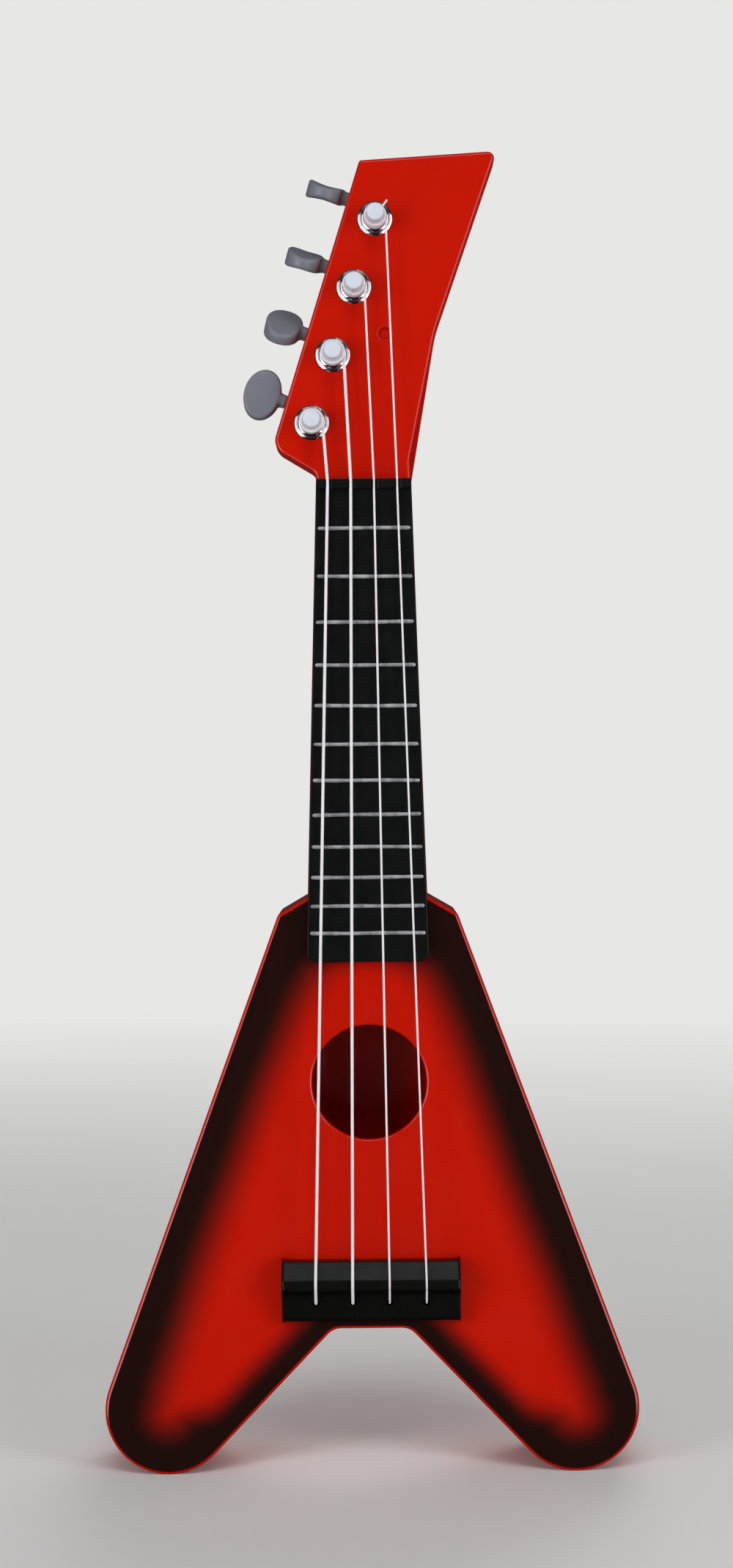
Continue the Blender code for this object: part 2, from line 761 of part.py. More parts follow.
def make_tuners():
    post = post_mesh()
    gear = gear_mesh()
    winding = winding_mesh()
    bushing = bushing_mesh()
    knob = knob_mesh()
    shaft = worm_shaft_mesh()
    gear_screw = screw_mesh("gear_screw", GEAR_THICK + 2.2, POST_SCREW_RADIUS, 2.0)
    under_gear = Matrix.Translation(Vector((0, 0, -GEAR_THICK / 2 - GAP)))
    for i, place in enumerate(posts(), start=1):
        piece(f"bushing_{i}", bushing, "chrome", post_frame(place))
        post_axis = axis_empty(f"post_axis_{i}", post_frame(place))
        piece(f"string_post_{i}", post, "white_plastic", parent=post_axis)
        piece(f"post_gear_{i}", gear, "brass", parent=post_axis)
        piece(f"gear_screw_{i}", gear_screw, "steel", under_gear, parent=post_axis)
        piece(f"string_winding_{i}", winding, "nylon", parent=post_axis)
        knob_axis = axis_empty(f"knob_axis_{i}", knob_frame(place))
        piece(f"worm_shaft_{i}", shaft, "steel", parent=knob_axis)
        turn = Matrix.Rotation(math.radians(KNOB_REST_ANGLES[i - 1]), 4, "Z")
        piece(f"tuning_knob_{i}", knob, "grey_plastic", turn, parent=knob_axis)


# Strings and screws


def string_route(i, post, radius):
    """From the bridge's anchor hole, over the saddle and the nut, to the right of its post."""
    order = 1.5 - i
    bridge_x = BRIDGE_STRING_SPACING * order
    nut_x = SLOT_SPACING * order + STRING_SIDESTEP
    nut = Vector((nut_x, FACE - NUT_STRING_HEIGHT, NUT_Z))
    turn_radius = WINDING_INNER + WINDING_STRING
    flat = Vector((post.x - nut.x, post.z - nut.z))
    lean = math.asin(turn_radius / flat.length)
    heading = Matrix.Rotation(-lean, 2) @ flat.normalized()
    clear_of_winding = math.hypot(turn_radius, WINDING_STRING + radius + GAP) + 1.2
    run = math.sqrt(flat.length**2 - turn_radius**2) - clear_of_winding
    end = Vector((nut.x + heading.x * run, FACE - POST_STRING_HEIGHT, nut.z + heading.y * run))
    route = [
        Vector((bridge_x, FACE - 3.2, ANCHOR_Z)),
        Vector((bridge_x, FACE - 5.2, ANCHOR_Z)),
        Vector((bridge_x, FACE - 6.4, 57.6)),
        Vector((bridge_x, FACE - 9.0, 61.3)),
        Vector((bridge_x, FACE - 9.0, 63.6)),
        nut - Vector((0.0, 0.0, NUT_LENGTH)),
        nut,
        end,
    ]
    return route


def make_strings():
    for i, place in enumerate(posts()):
        radius = STRING_RADII[i]
        curve = bpy.data.curves.new(f"string_{i + 1}", "CURVE")
        curve.dimensions = "3D"
        curve.bevel_depth = radius * MM
        curve.bevel_resolution = 1
        curve.use_fill_caps = True
        route = string_route(i, place, radius)
        spline = curve.splines.new("POLY")
        spline.points.add(len(route) - 1)
        for point, where in zip(spline.points, route):
            point.co = (*(where * MM), 1.0)
        string = bpy.data.objects.new(f"string_{i + 1}", curve)
        curve.materials.append(material("nylon"))
        bpy.context.collection.objects.link(string)


def make_screws():
    case_screw = screw_mesh("case_screw", SEAT_DEPTH + SPLIT - FACE - WALL - 2 * GAP)
    for i, (x, z) in enumerate(CASE_SCREWS, start=1):
        seat = SPLIT + SEAT_DEPTH + GAP
        piece(f"case_screw_{i}", case_screw, "steel", towards_front(x, z, seat))
    under_face = FACE + WALL + GAP
    bridge_screw = screw_mesh("bridge_screw", WALL + GAP + 3.0)
    for i, (x, z) in enumerate(BRIDGE_SCREWS, start=1):
        piece(f"bridge_screw_{i}", bridge_screw, "steel", towards_front(x, z, under_face))
    board_screw = screw_mesh("fretboard_screw", WALL + GAP + 2.2)
    for i, (x, z) in enumerate(BOARD_SCREWS, start=1):
        piece(f"fretboard_screw_{i}", board_screw, "steel", towards_front(x, z, under_face))


clear_scene()
make_front_shell()
make_back_shell()
make_fretboard()
make_bridge()
make_tuners()
make_strings()
make_screws()
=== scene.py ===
"""The finish of a toy V-shaped guitar: fine meshes, materials, camera and light.

Sizes are in millimetres, and every mesh is scaled by MM into metres as it is made. Depths,
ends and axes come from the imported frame: the nodes' boxes and the joints.
"""

import json
import math
import random

import bmesh
import bpy
from mathutils import Matrix, Vector


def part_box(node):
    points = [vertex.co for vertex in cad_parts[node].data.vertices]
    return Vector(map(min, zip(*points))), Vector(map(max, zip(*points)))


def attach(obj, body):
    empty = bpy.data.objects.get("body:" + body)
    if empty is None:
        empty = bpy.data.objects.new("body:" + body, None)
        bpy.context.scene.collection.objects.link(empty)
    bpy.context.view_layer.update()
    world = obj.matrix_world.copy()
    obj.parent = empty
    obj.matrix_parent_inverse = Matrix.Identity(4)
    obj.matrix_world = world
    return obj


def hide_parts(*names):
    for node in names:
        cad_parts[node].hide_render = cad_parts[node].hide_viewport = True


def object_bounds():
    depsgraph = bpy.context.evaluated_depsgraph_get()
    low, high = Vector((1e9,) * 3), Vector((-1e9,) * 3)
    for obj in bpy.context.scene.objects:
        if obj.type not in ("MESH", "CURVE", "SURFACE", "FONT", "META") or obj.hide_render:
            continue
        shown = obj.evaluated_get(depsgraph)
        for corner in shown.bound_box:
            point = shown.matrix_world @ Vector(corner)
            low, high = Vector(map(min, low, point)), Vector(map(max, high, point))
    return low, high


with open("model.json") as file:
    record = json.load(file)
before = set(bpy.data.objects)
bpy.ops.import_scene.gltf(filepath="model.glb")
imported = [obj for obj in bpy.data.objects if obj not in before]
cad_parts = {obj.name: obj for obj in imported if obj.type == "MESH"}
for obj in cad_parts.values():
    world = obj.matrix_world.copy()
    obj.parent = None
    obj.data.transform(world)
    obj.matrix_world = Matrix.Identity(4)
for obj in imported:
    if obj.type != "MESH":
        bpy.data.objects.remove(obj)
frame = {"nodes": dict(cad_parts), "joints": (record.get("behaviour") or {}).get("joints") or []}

CAD_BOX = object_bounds()
MM = 0.001


def box_of(node):
    low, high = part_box(node)
    return low / MM, high / MM


# Depths and ends that the frame gives
FRONT_LOW, FRONT_HIGH = box_of("front_shell")
BACK_LOW, BACK_HIGH = box_of("back_shell")
BOARD_LOW, BOARD_HIGH = box_of("fretboard")
FACE = FRONT_LOW.y
SPLIT = (FRONT_HIGH.y + BACK_LOW.y) / 2
SEAM = (BACK_LOW.y - FRONT_HIGH.y) / 2
BODY_BACK = BACK_HIGH.y
NUT_Z = BOARD_HIGH.z
BOARD_END_Z = BOARD_LOW.z
BOARD_END_HALF_WIDTH = BOARD_HIGH.x
NUT_TOP = BOARD_LOW.y
BRIDGE_HALF_WIDTH = box_of("bridge")[1].x

# The case, as in the solids, with rounder edges
NECK_BACK = FACE + 19.0
HEEL_BACK = FACE + 27.0
HEAD_BACK = FACE + 16.0
WALL = 2.0
FRONT_EDGE = 1.3
BACK_EDGE = 2.6
HEAD_EDGE = 6.5
SEAM_BEVEL = 0.2
GAP = 0.3
TOUCH = 0.02
# Outlines are (x, z, corner radius), clockwise as seen from the front
HEAD_CORNERS = [
    (-15.6, 326.8, 3.0),
    (-29.9, 335.4, 5.5),
    (-0.5, 429.3, 1.2),
    (44.7, 431.96, 2.2),
    (24.0, 373.0, 40.0),
    (15.3, 331.0, 8.0),
]
BODY_CORNERS = [
    (19.6, 188.2, 1.0),
    (29.45, 182.5, 2.0),
    (120.3, -65.3, 20.8),
    (12.47, 47.0, 6.0),
    (-12.47, 47.0, 6.0),
    (-120.3, -65.3, 20.8),
    (-29.45, 182.5, 2.0),
    (-19.6, 188.2, 1.0),
]
# The headstock's back half ends in two nearly square corners inside the neck
HEAD_BACK_FOOT = [(15.3, 322.0, 0.5), (-15.5, 322.0, 0.5)]
ARC_ERROR = 0.01
MOST_ARC_STEP = math.radians(12)
SOUND_HOLE = (0.0, 127.6)
SOUND_HOLE_RADIUS = 18.65
SOUND_HOLE_RIM = 1.0
RECESS = (7.4, 372.4)
RECESS_RADIUS = 2.45
RECESS_DEPTH = 1.1
# The neck's back, as (z, depth)
NECK_STATIONS = [
    (176.0, HEEL_BACK),
    (189.0, HEEL_BACK),
    (197.0, HEEL_BACK - 3.5),
    (207.0, NECK_BACK + 1.0),
    (220.0, NECK_BACK),
    (314.0, NECK_BACK - 1.0),
    (324.0, HEAD_BACK),
    (336.0, HEAD_BACK - 1.7),
]
NECK_OVERLAP = 4.0
NECK_TOP_Z = 326.0
NECK_SQUARENESS = 0.8

# Fretboard
NUT_HALF_WIDTH = 15.5
NUT_LENGTH = 3.4
NUT_ROUND = 0.7
BOARD_TOP = FACE - 3.5
BOARD_CHAMFER = 2.0
BOARD_ROUND = 0.45
FRET_COUNT = 12
FRET_ZERO_Z = 325.1
SCALE_LENGTH = 297.0
FRET_WIDTH = 1.3
FRET_RISE = 0.8
FRET_INSET = 0.8
FRET_SEED = 12
SEMITONES = 12
SLOT_WIDTH = 2.6
SLOT_SPACING = 7.55
SLOT_FLOOR = FACE - 4.4

# Bridge: (z, height in front of the face, corner radius), clockwise as seen from the right
BRIDGE_PROFILE = [
    (69.9, TOUCH, 0.1),
    (50.2, TOUCH, 0.1),
    (50.2, 2.6, 0.8),
    (51.4, 3.9, 1.0),
    (59.4, 5.0, 1.6),
    (61.2, 8.15, 1.0),
    (64.2, 8.1, 1.7),
    (69.9, 4.2, 0.9),
]
BRIDGE_END_ROUND = 0.9
SADDLE_Z = (61.4, 63.8)
SADDLE_HEIGHT = 8.1
ANCHOR_Z = 56.5
ANCHOR_RADIUS = 1.2
BRIDGE_STRING_SPACING = 12.0

# Strings and windings
STRING_RADII = [0.33, 0.35, 0.5, 0.5]
STRING_SIDESTEP = -0.45
POST_STRING_HEIGHT = 4.0
WINDING_RADIUS = 3.05
WINDING_TURNS = [2.9, 2.7, 2.2, 2.2]
TAIL_ANGLES = [50.0, 92.0, 95.0, 98.0]
TAIL_ENDS = [6.2, 3.6, 3.6, 3.6]

# Tuners, along each shaft and post
TUNER_COUNT = 4
WALL_OUTER = 10.6
SHAFT_INNER_END = -8.0
SHAFT_OUTER_END = 19.3
SHAFT_HOLE_RADIUS = 1.5
BEARING_RIB = (-6.9, -5.3)
RIB_HALF_WIDTH = 3.6
KNOB_CENTRE = 18.7
KNOB_LENGTH = 12.2
KNOB_WIDTH = 16.9
KNOB_ENDS_THICK = (5.6, 6.2)
KNOB_WAIST_THICK = 4.7
KNOB_ROUND = 1.1
KNOB_REST_ANGLES = [76.0, 69.0, 48.0, 4.0]
KNOB_CROWN = 0.55
COLLAR_RADIUS = 2.25
COLLAR_GAP = 0.1
BUSHING_SLEEVE_RADIUS = 3.6
POST_RADIUS = 2.2
FLANGE_RADIUS = 5.7
# The post's flared skirt, as (height above the face, radius)
POST_SKIRT = [(2.7, 3.84), (3.6, 3.68), (4.8, 3.4), (6.0, 3.2), (7.2, 3.06)]

# Screws
CASE_SCREWS = [
    (-64.0, 27.0),
    (64.0, 27.0),
    (-48.0, 92.0),
    (48.0, 92.0),
    (-22.0, 158.0),
    (22.0, 158.0),
    (0.0, 225.0),
    (0.0, 285.0),
    (3.0, 338.0),
    (7.4, 372.4),
    (31.0, 418.0),
]
SCREW_RADIUS = 1.4
SCREW_HOLE_RADIUS = SCREW_RADIUS + GAP
HEAD_RADIUS = 2.7
HEAD_HEIGHT = 1.8
THREAD_PITCH = 1.1
WELL_RADIUS = HEAD_RADIUS + 0.4
SEAT_DEPTH = 4.0
FRONT_BOSS_RADIUS = 3.3
BACK_BOSS_RADIUS = 4.7

FRONTWARD = Vector((0.0, -1.0, 0.0))


# Outlines in the XZ plane


def outline(corners, inset=0.0):
    """A closed outline from clockwise (x, z, radius) corners, moved inwards by inset."""
    points = [Vector(corner[:2]) for corner in corners]
    count = len(points)
    made = []
    for i, (_, _, radius) in enumerate(corners):
        here = points[i]
        before = (here - points[i - 1]).normalized()
        after = (points[(i + 1) % count] - here).normalized()
        turn = math.atan2(before.cross(after), before.dot(after))
        inward = Vector((before.y, -before.x))
        slide = inset * math.tan(-turn / 2)
        corner = here + inward * inset - before * slide
        # A clockwise turn is an outer corner, whose radius shrinks as the outline moves in
        fillet = max(radius - inset, 0.05) if turn < 0 else radius + inset
        reach = fillet * math.tan(abs(turn) / 2)
        side = 1 if turn < 0 else -1
        centre = corner - before * reach + inward * fillet * side
        first = corner - before * reach - centre
        step = min(2 * math.acos(1 - ARC_ERROR / radius), MOST_ARC_STEP)
        steps = max(2, round(abs(turn) / step))
        for k in range(steps + 1):
            made.append(centre + Matrix.Rotation(turn * k / steps, 2) @ first)
    return made


def at_depth(points, y):
    return [Vector((p.x, y, p.y)) for p in points]


def edge_rings(corners, rim, face, radius, steps=6, inset=0.0):
    """The rings of a plate's wall: a small bevel at its rim, a rounded edge at its face."""
    side = 1 if face > rim else -1
    rings = [
        at_depth(outline(corners, inset + SEAM_BEVEL), rim),
        at_depth(outline(corners, inset), rim + side * SEAM_BEVEL),
    ]
    for k in range(steps + 1):
        angle = math.pi / 2 * k / steps
        shift = inset + radius * (1 - math.cos(angle))
        depth = face - side * radius * (1 - math.sin(angle))
        rings.append(at_depth(outline(corners, shift), depth))
    return rings


def through(points, x):
    """The height at x of a smooth curve through rising (x, height) points."""
    last = len(points) - 1
    i = max(k for k in range(last) if points[k][0] <= x or k == 0)

    def slope(k):
        low, high = points[max(k - 1, 0)], points[min(k + 1, last)]
        return (high[1] - low[1]) / (high[0] - low[0])

    run = points[i + 1][0] - points[i][0]
    t = (x - points[i][0]) / run
    start, end = points[i][1], points[i + 1][1]
    return (
        start * (2 * t**3 - 3 * t**2 + 1)
        + slope(i) * run * (t**3 - 2 * t**2 + t)
        + end * (3 * t**2 - 2 * t**3)
        + slope(i + 1) * run * (t**3 - t**2)
    )


# Solids


def fill_rings(bm, rings, closed=False):
    """Joins closed rings of equal length, and caps them or joins the last to the first."""
    loops = [[bm.verts.new(point * MM) for point in ring] for ring in rings]
    pairs = list(zip(loops, loops[1:]))
    if closed:
        pairs.append((loops[-1], loops[0]))
    for lower, upper in pairs:
        for i in range(len(lower)):
            j = (i + 1) % len(lower)
            bm.faces.new((lower[i], lower[j], upper[j], upper[i]))
    if not closed:
        bm.faces.new(loops[0])
        bm.faces.new(loops[-1])


def mesh_of(name, solids, closed=False):
    bm = bmesh.new()
    for rings in solids:
        fill_rings(bm, rings, closed)
    bmesh.ops.recalc_face_normals(bm, faces=bm.faces)
    mesh = bpy.data.meshes.new(name)
    bm.to_mesh(mesh)
    bm.free()
    return mesh


def turned(profile, sides):
    """The rings of a round solid about local Z, from (distance along Z, radius) pairs."""
    rings = []
    for along, radius in profile:
        angles = [2 * math.pi * k / sides for k in range(sides)]
        rings.append([Vector((radius * math.cos(a), radius * math.sin(a), along)) for a in angles])
    return rings


def arc(centre, radius, start, end, steps=6):
    """(along, radius) points of a profile's rounded corner, between two angles in degrees."""
    made = []
    for k in range(steps + 1):
        angle = math.radians(start + (end - start) * k / steps)
        made.append((centre[0] + radius * math.sin(angle), centre[1] + radius * math.cos(angle)))
    return made


def moved(rings, matrix):
    return [[matrix @ point for point in ring] for ring in rings]


def box(low, high):
    corners = [(low[0], low[1]), (high[0], low[1]), (high[0], high[1]), (low[0], high[1])]
    return [[Vector((x, y, z)) for x, y in corners] for z in (low[2], high[2])]


def frame_at(origin, x_axis, y_axis, z_axis):
    rotation = Matrix((x_axis, y_axis, z_axis)).transposed().to_4x4()
    return Matrix.Translation(origin) @ rotation


def towards_front(x, z, y=SPLIT):
    axes = (Vector((1, 0, 0)), Vector((0, 0, 1)), FRONTWARD)
    return frame_at(Vector((x, y, z)), *axes)


def joint(name):
    """A joint's point in millimetres, and its axis."""
    found = next(j for j in frame["joints"] if j["name"] == name)
    return Vector(found["pos_m"]) / MM, Vector(found["axis"]).normalized()


def knob_frames():
    """Each worm shaft's frame: local Z runs outwards along it, local Y towards the front."""
    for i in range(1, TUNER_COUNT + 1):
        foot, outward = joint(f"knob_turn_{i}")
        yield frame_at(foot, FRONTWARD.cross(outward), FRONTWARD, outward)


def post_frames():
    """Each post's frame: local Z runs towards the front, local Y along the knob's shaft."""
    for i in range(1, TUNER_COUNT + 1):
        centre, forward = joint(f"post_turn_{i}")
        _, outward = joint(f"knob_turn_{i}")
        yield frame_at(centre, outward.cross(forward), outward, forward)


# Objects


def new_object(name, data):
    obj = bpy.data.objects.new(name, data)
    bpy.context.scene.collection.objects.link(obj)
    return obj


def boolean(target, operation, solids):
    cutter = new_object(f"{target.name}_{operation.lower()}", mesh_of("cutter", solids))
    cutter.hide_render = True
    modifier = target.modifiers.new(operation.title(), "BOOLEAN")
    modifier.operation = operation
    modifier.solver = "EXACT"
    modifier.object = cutter


def add(target, solids):
    boolean(target, "UNION", solids)


def cut(target, solids):
    boolean(target, "DIFFERENCE", solids)


def applied(obj):
    """Turns the object's modifiers into its mesh, and removes their cutters."""
    bpy.context.view_layer.update()
    graph = bpy.context.evaluated_depsgraph_get()
    mesh = bpy.data.meshes.new_from_object(obj.evaluated_get(graph))
    cutters = [m.object for m in obj.modifiers if m.type == "BOOLEAN"]
    obj.modifiers.clear()
    obj.data = mesh
    for cutter in cutters:
        bpy.data.objects.remove(cutter)
    return obj


def smoothed(obj, angle=32.0):
    """Smooth shading that leaves flat faces flat and edges above the angle sharp."""
    obj.data.shade_smooth()
    obj.data.set_sharp_from_angle(angle=math.radians(angle))
    normals = obj.modifiers.new("Normals", "WEIGHTED_NORMAL")
    normals.keep_sharp = True
    return obj


def finished(obj, material, body, slot, *nodes):
    """Gives a piece its material and its body, and hides the CAD nodes that it stands for."""
    obj.data.materials.clear()
    obj.data.materials.append(material)
    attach(obj, body)
    if nodes:
        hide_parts(*nodes)
    return obj


def placed(name, mesh, matrix):
    """An object whose mesh is in its own frame, given in millimetres."""
    obj = new_object(name, mesh)
    rotation = matrix.to_3x3().to_4x4()
    obj.matrix_world = Matrix.Translation(matrix.translation * MM) @ rotation
    return obj


# Materials


class Nodes:
    """Short calls for one material's nodes. Places reach it in millimetres."""

    def __init__(self, name, roughness, metallic=0.0, ior=1.5):
        self.material = bpy.data.materials.new(name)
        self.material.use_nodes = True
        self.tree = self.material.node_tree
        self.shader = self.tree.nodes["Principled BSDF"]
        self.shader.inputs["Roughness"].default_value = roughness
        self.shader.inputs["Metallic"].default_value = metallic
        self.shader.inputs["IOR"].default_value = ior
        coordinates = self.tree.nodes.new("ShaderNodeTexCoord")
        self.place = self.vector("SCALE", coordinates.outputs["Object"], scale=1 / MM)
        split = self.tree.nodes.new("ShaderNodeSeparateXYZ")
        self.feed(split.inputs[0], self.place)
        self.x, self.y, self.z = split.outputs

    def feed(self, socket, value):
        if isinstance(value, bpy.types.NodeSocket):
            self.tree.links.new(value, socket)
        else:
            socket.default_value = value

    def vector(self, operation, *values, scale=None):
        node = self.tree.nodes.new("ShaderNodeVectorMath")
        node.operation = operation
        for socket, value in zip(node.inputs, values):
            self.feed(socket, value)
        if scale is not None:
            node.inputs["Scale"].default_value = scale
        return node.outputs["Vector"]

    def math(self, operation, *values):
        node = self.tree.nodes.new("ShaderNodeMath")
        node.operation = operation
        for socket, value in zip(node.inputs, values):
            self.feed(socket, value)
        return node.outputs[0]

    def line(self, x, across, along, point):
        """The distance from a line, along its (x, z) normal: positive on the normal's side."""
        normal = Vector((across, along)).normalized()
        reach = normal.dot(Vector(point))
        share = self.math("MULTIPLY", x, normal.x)
        return self.math("SUBTRACT", self.math("MULTIPLY_ADD", self.z, normal.y, share), reach)

    def ramp(self, value, start, end, low=0.0, high=1.0, smooth=True):
        node = self.tree.nodes.new("ShaderNodeMapRange")
        node.interpolation_type = "SMOOTHSTEP" if smooth else "LINEAR"
        for name, fed in (
            ("Value", value),
            ("From Min", start),
            ("From Max", end),
            ("To Min", low),
            ("To Max", high),
        ):
            self.feed(node.inputs[name], fed)
        return node.outputs[0]

    def noise(self, size, detail=2.0, stretch=(1.0, 1.0, 1.0), centre=None):
        """Noise between 0 and 1, whose features are about size millimetres across."""
        where = self.vector("MULTIPLY", centre or self.place, [s / size for s in stretch])
        node = self.tree.nodes.new("ShaderNodeTexNoise")
        node.inputs["Scale"].default_value = 1.0
        node.inputs["Detail"].default_value = detail
        self.feed(node.inputs["Vector"], where)
        return node.outputs["Fac"]

    def mix(self, factor, first, second):
        node = self.tree.nodes.new("ShaderNodeMix")
        node.data_type = "RGBA"
        self.feed(node.inputs[0], factor)
        self.feed(node.inputs[6], first)
        self.feed(node.inputs[7], second)
        return node.outputs[2]

    def shade(self, colour, amount, size, detail=2.0):
        """The colour, made lighter and darker by noise."""
        low = (*[c * (1 - amount) for c in colour[:3]], 1.0)
        high = (*[min(c * (1 + amount), 1.0) for c in colour[:3]], 1.0)
        return self.mix(self.noise(size, detail), low, high)

    def bump(self, height, distance, strength=1.0):
        """Heights from 0 to 1, distance millimetres tall."""
        node = self.tree.nodes.new("ShaderNodeBump")
        node.inputs["Strength"].default_value = strength
        node.inputs["Distance"].default_value = distance * MM
        self.feed(node.inputs["Height"], height)
        self.feed(self.shader.inputs["Normal"], node.outputs["Normal"])

    def colour(self, value):
        self.feed(self.shader.inputs["Base Color"], value)

    def roughness(self, value):
        self.feed(self.shader.inputs["Roughness"], value)

    def coat(self, weight, roughness):
        self.shader.inputs["Coat Weight"].default_value = weight
        self.shader.inputs["Coat Roughness"].default_value = roughness


RED = (0.53, 0.0075, 0.0008, 1.0)
BURST_DARK = (0.0145, 0.0042, 0.003, 1.0)
BURST_EDGE = 6.5
BURST_REACH = 25.5
BOARD_BLACK = (0.0045, 0.0055, 0.005)
BRIDGE_BLACK = (0.0045, 0.0045, 0.0042)
RIDGE_BLACK = (0.008, 0.009, 0.008, 1.0)
SILVER_THIN = (0.25, 0.25, 0.255, 1.0)
SILVER_FULL = (0.46, 0.46, 0.47, 1.0)
KNOB_GREY = (0.165, 0.175, 0.205)
NYLON_WHITE = (0.80, 0.77, 0.80, 1.0)
POST_WHITE = (0.64, 0.68, 0.76, 1.0)
CHROME = (0.78, 0.79, 0.81, 1.0)
STEEL = (0.56, 0.56, 0.58, 1.0)
BRASS = (0.66, 0.46, 0.18, 1.0)


def red_plastic():
    """Gloss red plastic. The front of the body is sprayed dark round its edge, but not on
    the rounded edge itself."""
    nodes = Nodes("red_plastic", 0.1)
    side_x, side_z, _ = BODY_CORNERS[1]
    tip_x, tip_z, tip_radius = BODY_CORNERS[2]
    notch_x, notch_z, _ = BODY_CORNERS[3]
    neck_x, neck_z, _ = BODY_CORNERS[0]
    x = nodes.math("ABSOLUTE", nodes.x)
    side = nodes.line(x, tip_z - side_z, side_x - tip_x, (side_x, side_z))
    shoulder = nodes.line(x, side_z - neck_z, neck_x - side_x, (neck_x, neck_z))
    slant = nodes.line(x, notch_z - tip_z, tip_x - notch_x, (notch_x, notch_z))
    notch = nodes.math("MAXIMUM", slant, nodes.math("SUBTRACT", nodes.z, notch_z))
    # The tip's centre is where both lines' distances equal its radius
    outer = Vector((tip_z - side_z, side_x - tip_x)).normalized()
    inner = Vector((notch_z - tip_z, tip_x - notch_x)).normalized()
    sums = Vector((outer.dot((side_x, side_z)), inner.dot((notch_x, notch_z))))
    centre = Matrix((outer, inner)).inverted() @ (sums + Vector((tip_radius, tip_radius)))
    outward = -(outer + inner).normalized()
    past = nodes.line(x, outward.x, outward.y, centre)
    beside = nodes.line(x, -outward.y, outward.x, centre)
    reach = nodes.math("POWER", nodes.math("MAXIMUM", past, 0.0), 2.0)
    reach = nodes.math("SQRT", nodes.math("ADD", reach, nodes.math("POWER", beside, 2.0)))
    tip = nodes.math("SUBTRACT", tip_radius, reach)
    tip = nodes.math("SUBTRACT", tip, nodes.math("MINIMUM", past, 0.0))

    narrow = nodes.math("MULTIPLY", notch, 1.7)
    shoulder = nodes.math("SUBTRACT", shoulder, 5.0)
    distance = nodes.math("SMOOTH_MIN", side, shoulder, 14.0)
    distance = nodes.math("SMOOTH_MIN", distance, narrow, 10.0)
    distance = nodes.math("SMOOTH_MIN", distance, tip, 5.0)
    drift = nodes.ramp(nodes.noise(60.0, 1.0), 0.3, 0.7, -0.9, 0.9, smooth=False)
    speckle = nodes.ramp(nodes.noise(0.35, 3.0), 0.3, 0.7, -0.7, 0.7, smooth=False)
    distance = nodes.math("ADD", nodes.math("ADD", distance, drift), speckle)
    clear = nodes.math("POWER", nodes.ramp(distance, BURST_EDGE, BURST_REACH), 1.3)
    off_face = nodes.ramp(nodes.y, FACE + 0.01, FACE + 0.12)
    off_body = nodes.ramp(nodes.z, BODY_CORNERS[0][1] - 0.6, BODY_CORNERS[0][1] + 1.0)
    clear = nodes.math("MAXIMUM", clear, nodes.math("MAXIMUM", off_face, off_body))

    red = nodes.shade(RED, 0.05, 45.0)
    nodes.colour(nodes.mix(clear, BURST_DARK, red))
    nodes.roughness(nodes.ramp(nodes.noise(14.0, 4.0), 0.3, 0.7, 0.07, 0.13))
    nodes.coat(0.2, 0.03)
    nodes.bump(nodes.noise(9.0, 1.0), 0.006)
    return nodes.material


def moulded_plastic(name, colour, roughness, grain, grain_depth, specular=0.5):
    """Moulded plastic with a fine grain and a slightly uneven gloss."""
    nodes = Nodes(name, roughness)
    nodes.shader.inputs["Specular IOR Level"].default_value = specular
    nodes.colour(nodes.shade(colour, 0.12, 12.0))
    nodes.roughness(
        nodes.ramp(nodes.noise(6.0, 4.0), 0.3, 0.7, roughness * 0.85, roughness * 1.15)
    )
    nodes.bump(nodes.noise(grain, 2.0), grain_depth)
    return nodes.material


def fret_paint():
    """Silver paint on the tops of black ridges, thin and uneven at its edges."""
    nodes = Nodes("fret_paint", 0.42, metallic=0.35)
    edge = nodes.ramp(nodes.noise(1.1, 3.0), 0.3, 0.7, -0.12, 0.12, smooth=False)
    level = nodes.math("ADD", nodes.y, edge)
    top = nodes.ramp(level, BOARD_TOP - 0.18, BOARD_TOP - 0.42)
    wear = nodes.ramp(nodes.noise(2.4, 3.0, stretch=(1.0, 0.2, 0.4)), 0.34, 0.62)
    silver = nodes.mix(wear, SILVER_THIN, SILVER_FULL)
    nodes.colour(nodes.mix(top, RIDGE_BLACK, silver))
    nodes.bump(nodes.noise(0.6, 3.0), 0.03)
    return nodes.material


def nylon():
    """White nylon line, faintly cloudy along its length."""
    nodes = Nodes("nylon", 0.35)
    nodes.colour(nodes.shade(NYLON_WHITE, 0.05, 5.0))
    nodes.shader.inputs["Subsurface Weight"].default_value = 0.15
    nodes.shader.inputs["Subsurface Radius"].default_value = (0.0008, 0.0006, 0.0006)
    nodes.bump(nodes.noise(0.5, 2.0), 0.01)
    return nodes.material


def white_plastic():
    """Smooth white plastic that lets a little light in."""
    nodes = Nodes("white_plastic", 0.3)
    nodes.colour(nodes.shade(POST_WHITE, 0.02, 4.0))
    nodes.shader.inputs["Subsurface Weight"].default_value = 0.2
    nodes.shader.inputs["Subsurface Radius"].default_value = (0.001, 0.001, 0.0012)
    nodes.roughness(nodes.ramp(nodes.noise(2.0, 3.0), 0.3, 0.7, 0.26, 0.36))
    nodes.bump(nodes.noise(2.5, 1.0), 0.002)
    return nodes.material


def chrome():
    """Bright plating with faint smears."""
    nodes = Nodes("chrome", 0.1, metallic=1.0)
    nodes.colour(nodes.shade(CHROME, 0.04, 3.0))
    nodes.roughness(nodes.ramp(nodes.noise(1.5, 4.0), 0.35, 0.7, 0.05, 0.16))
    nodes.bump(nodes.noise(2.0, 2.0), 0.006)
    return nodes.material


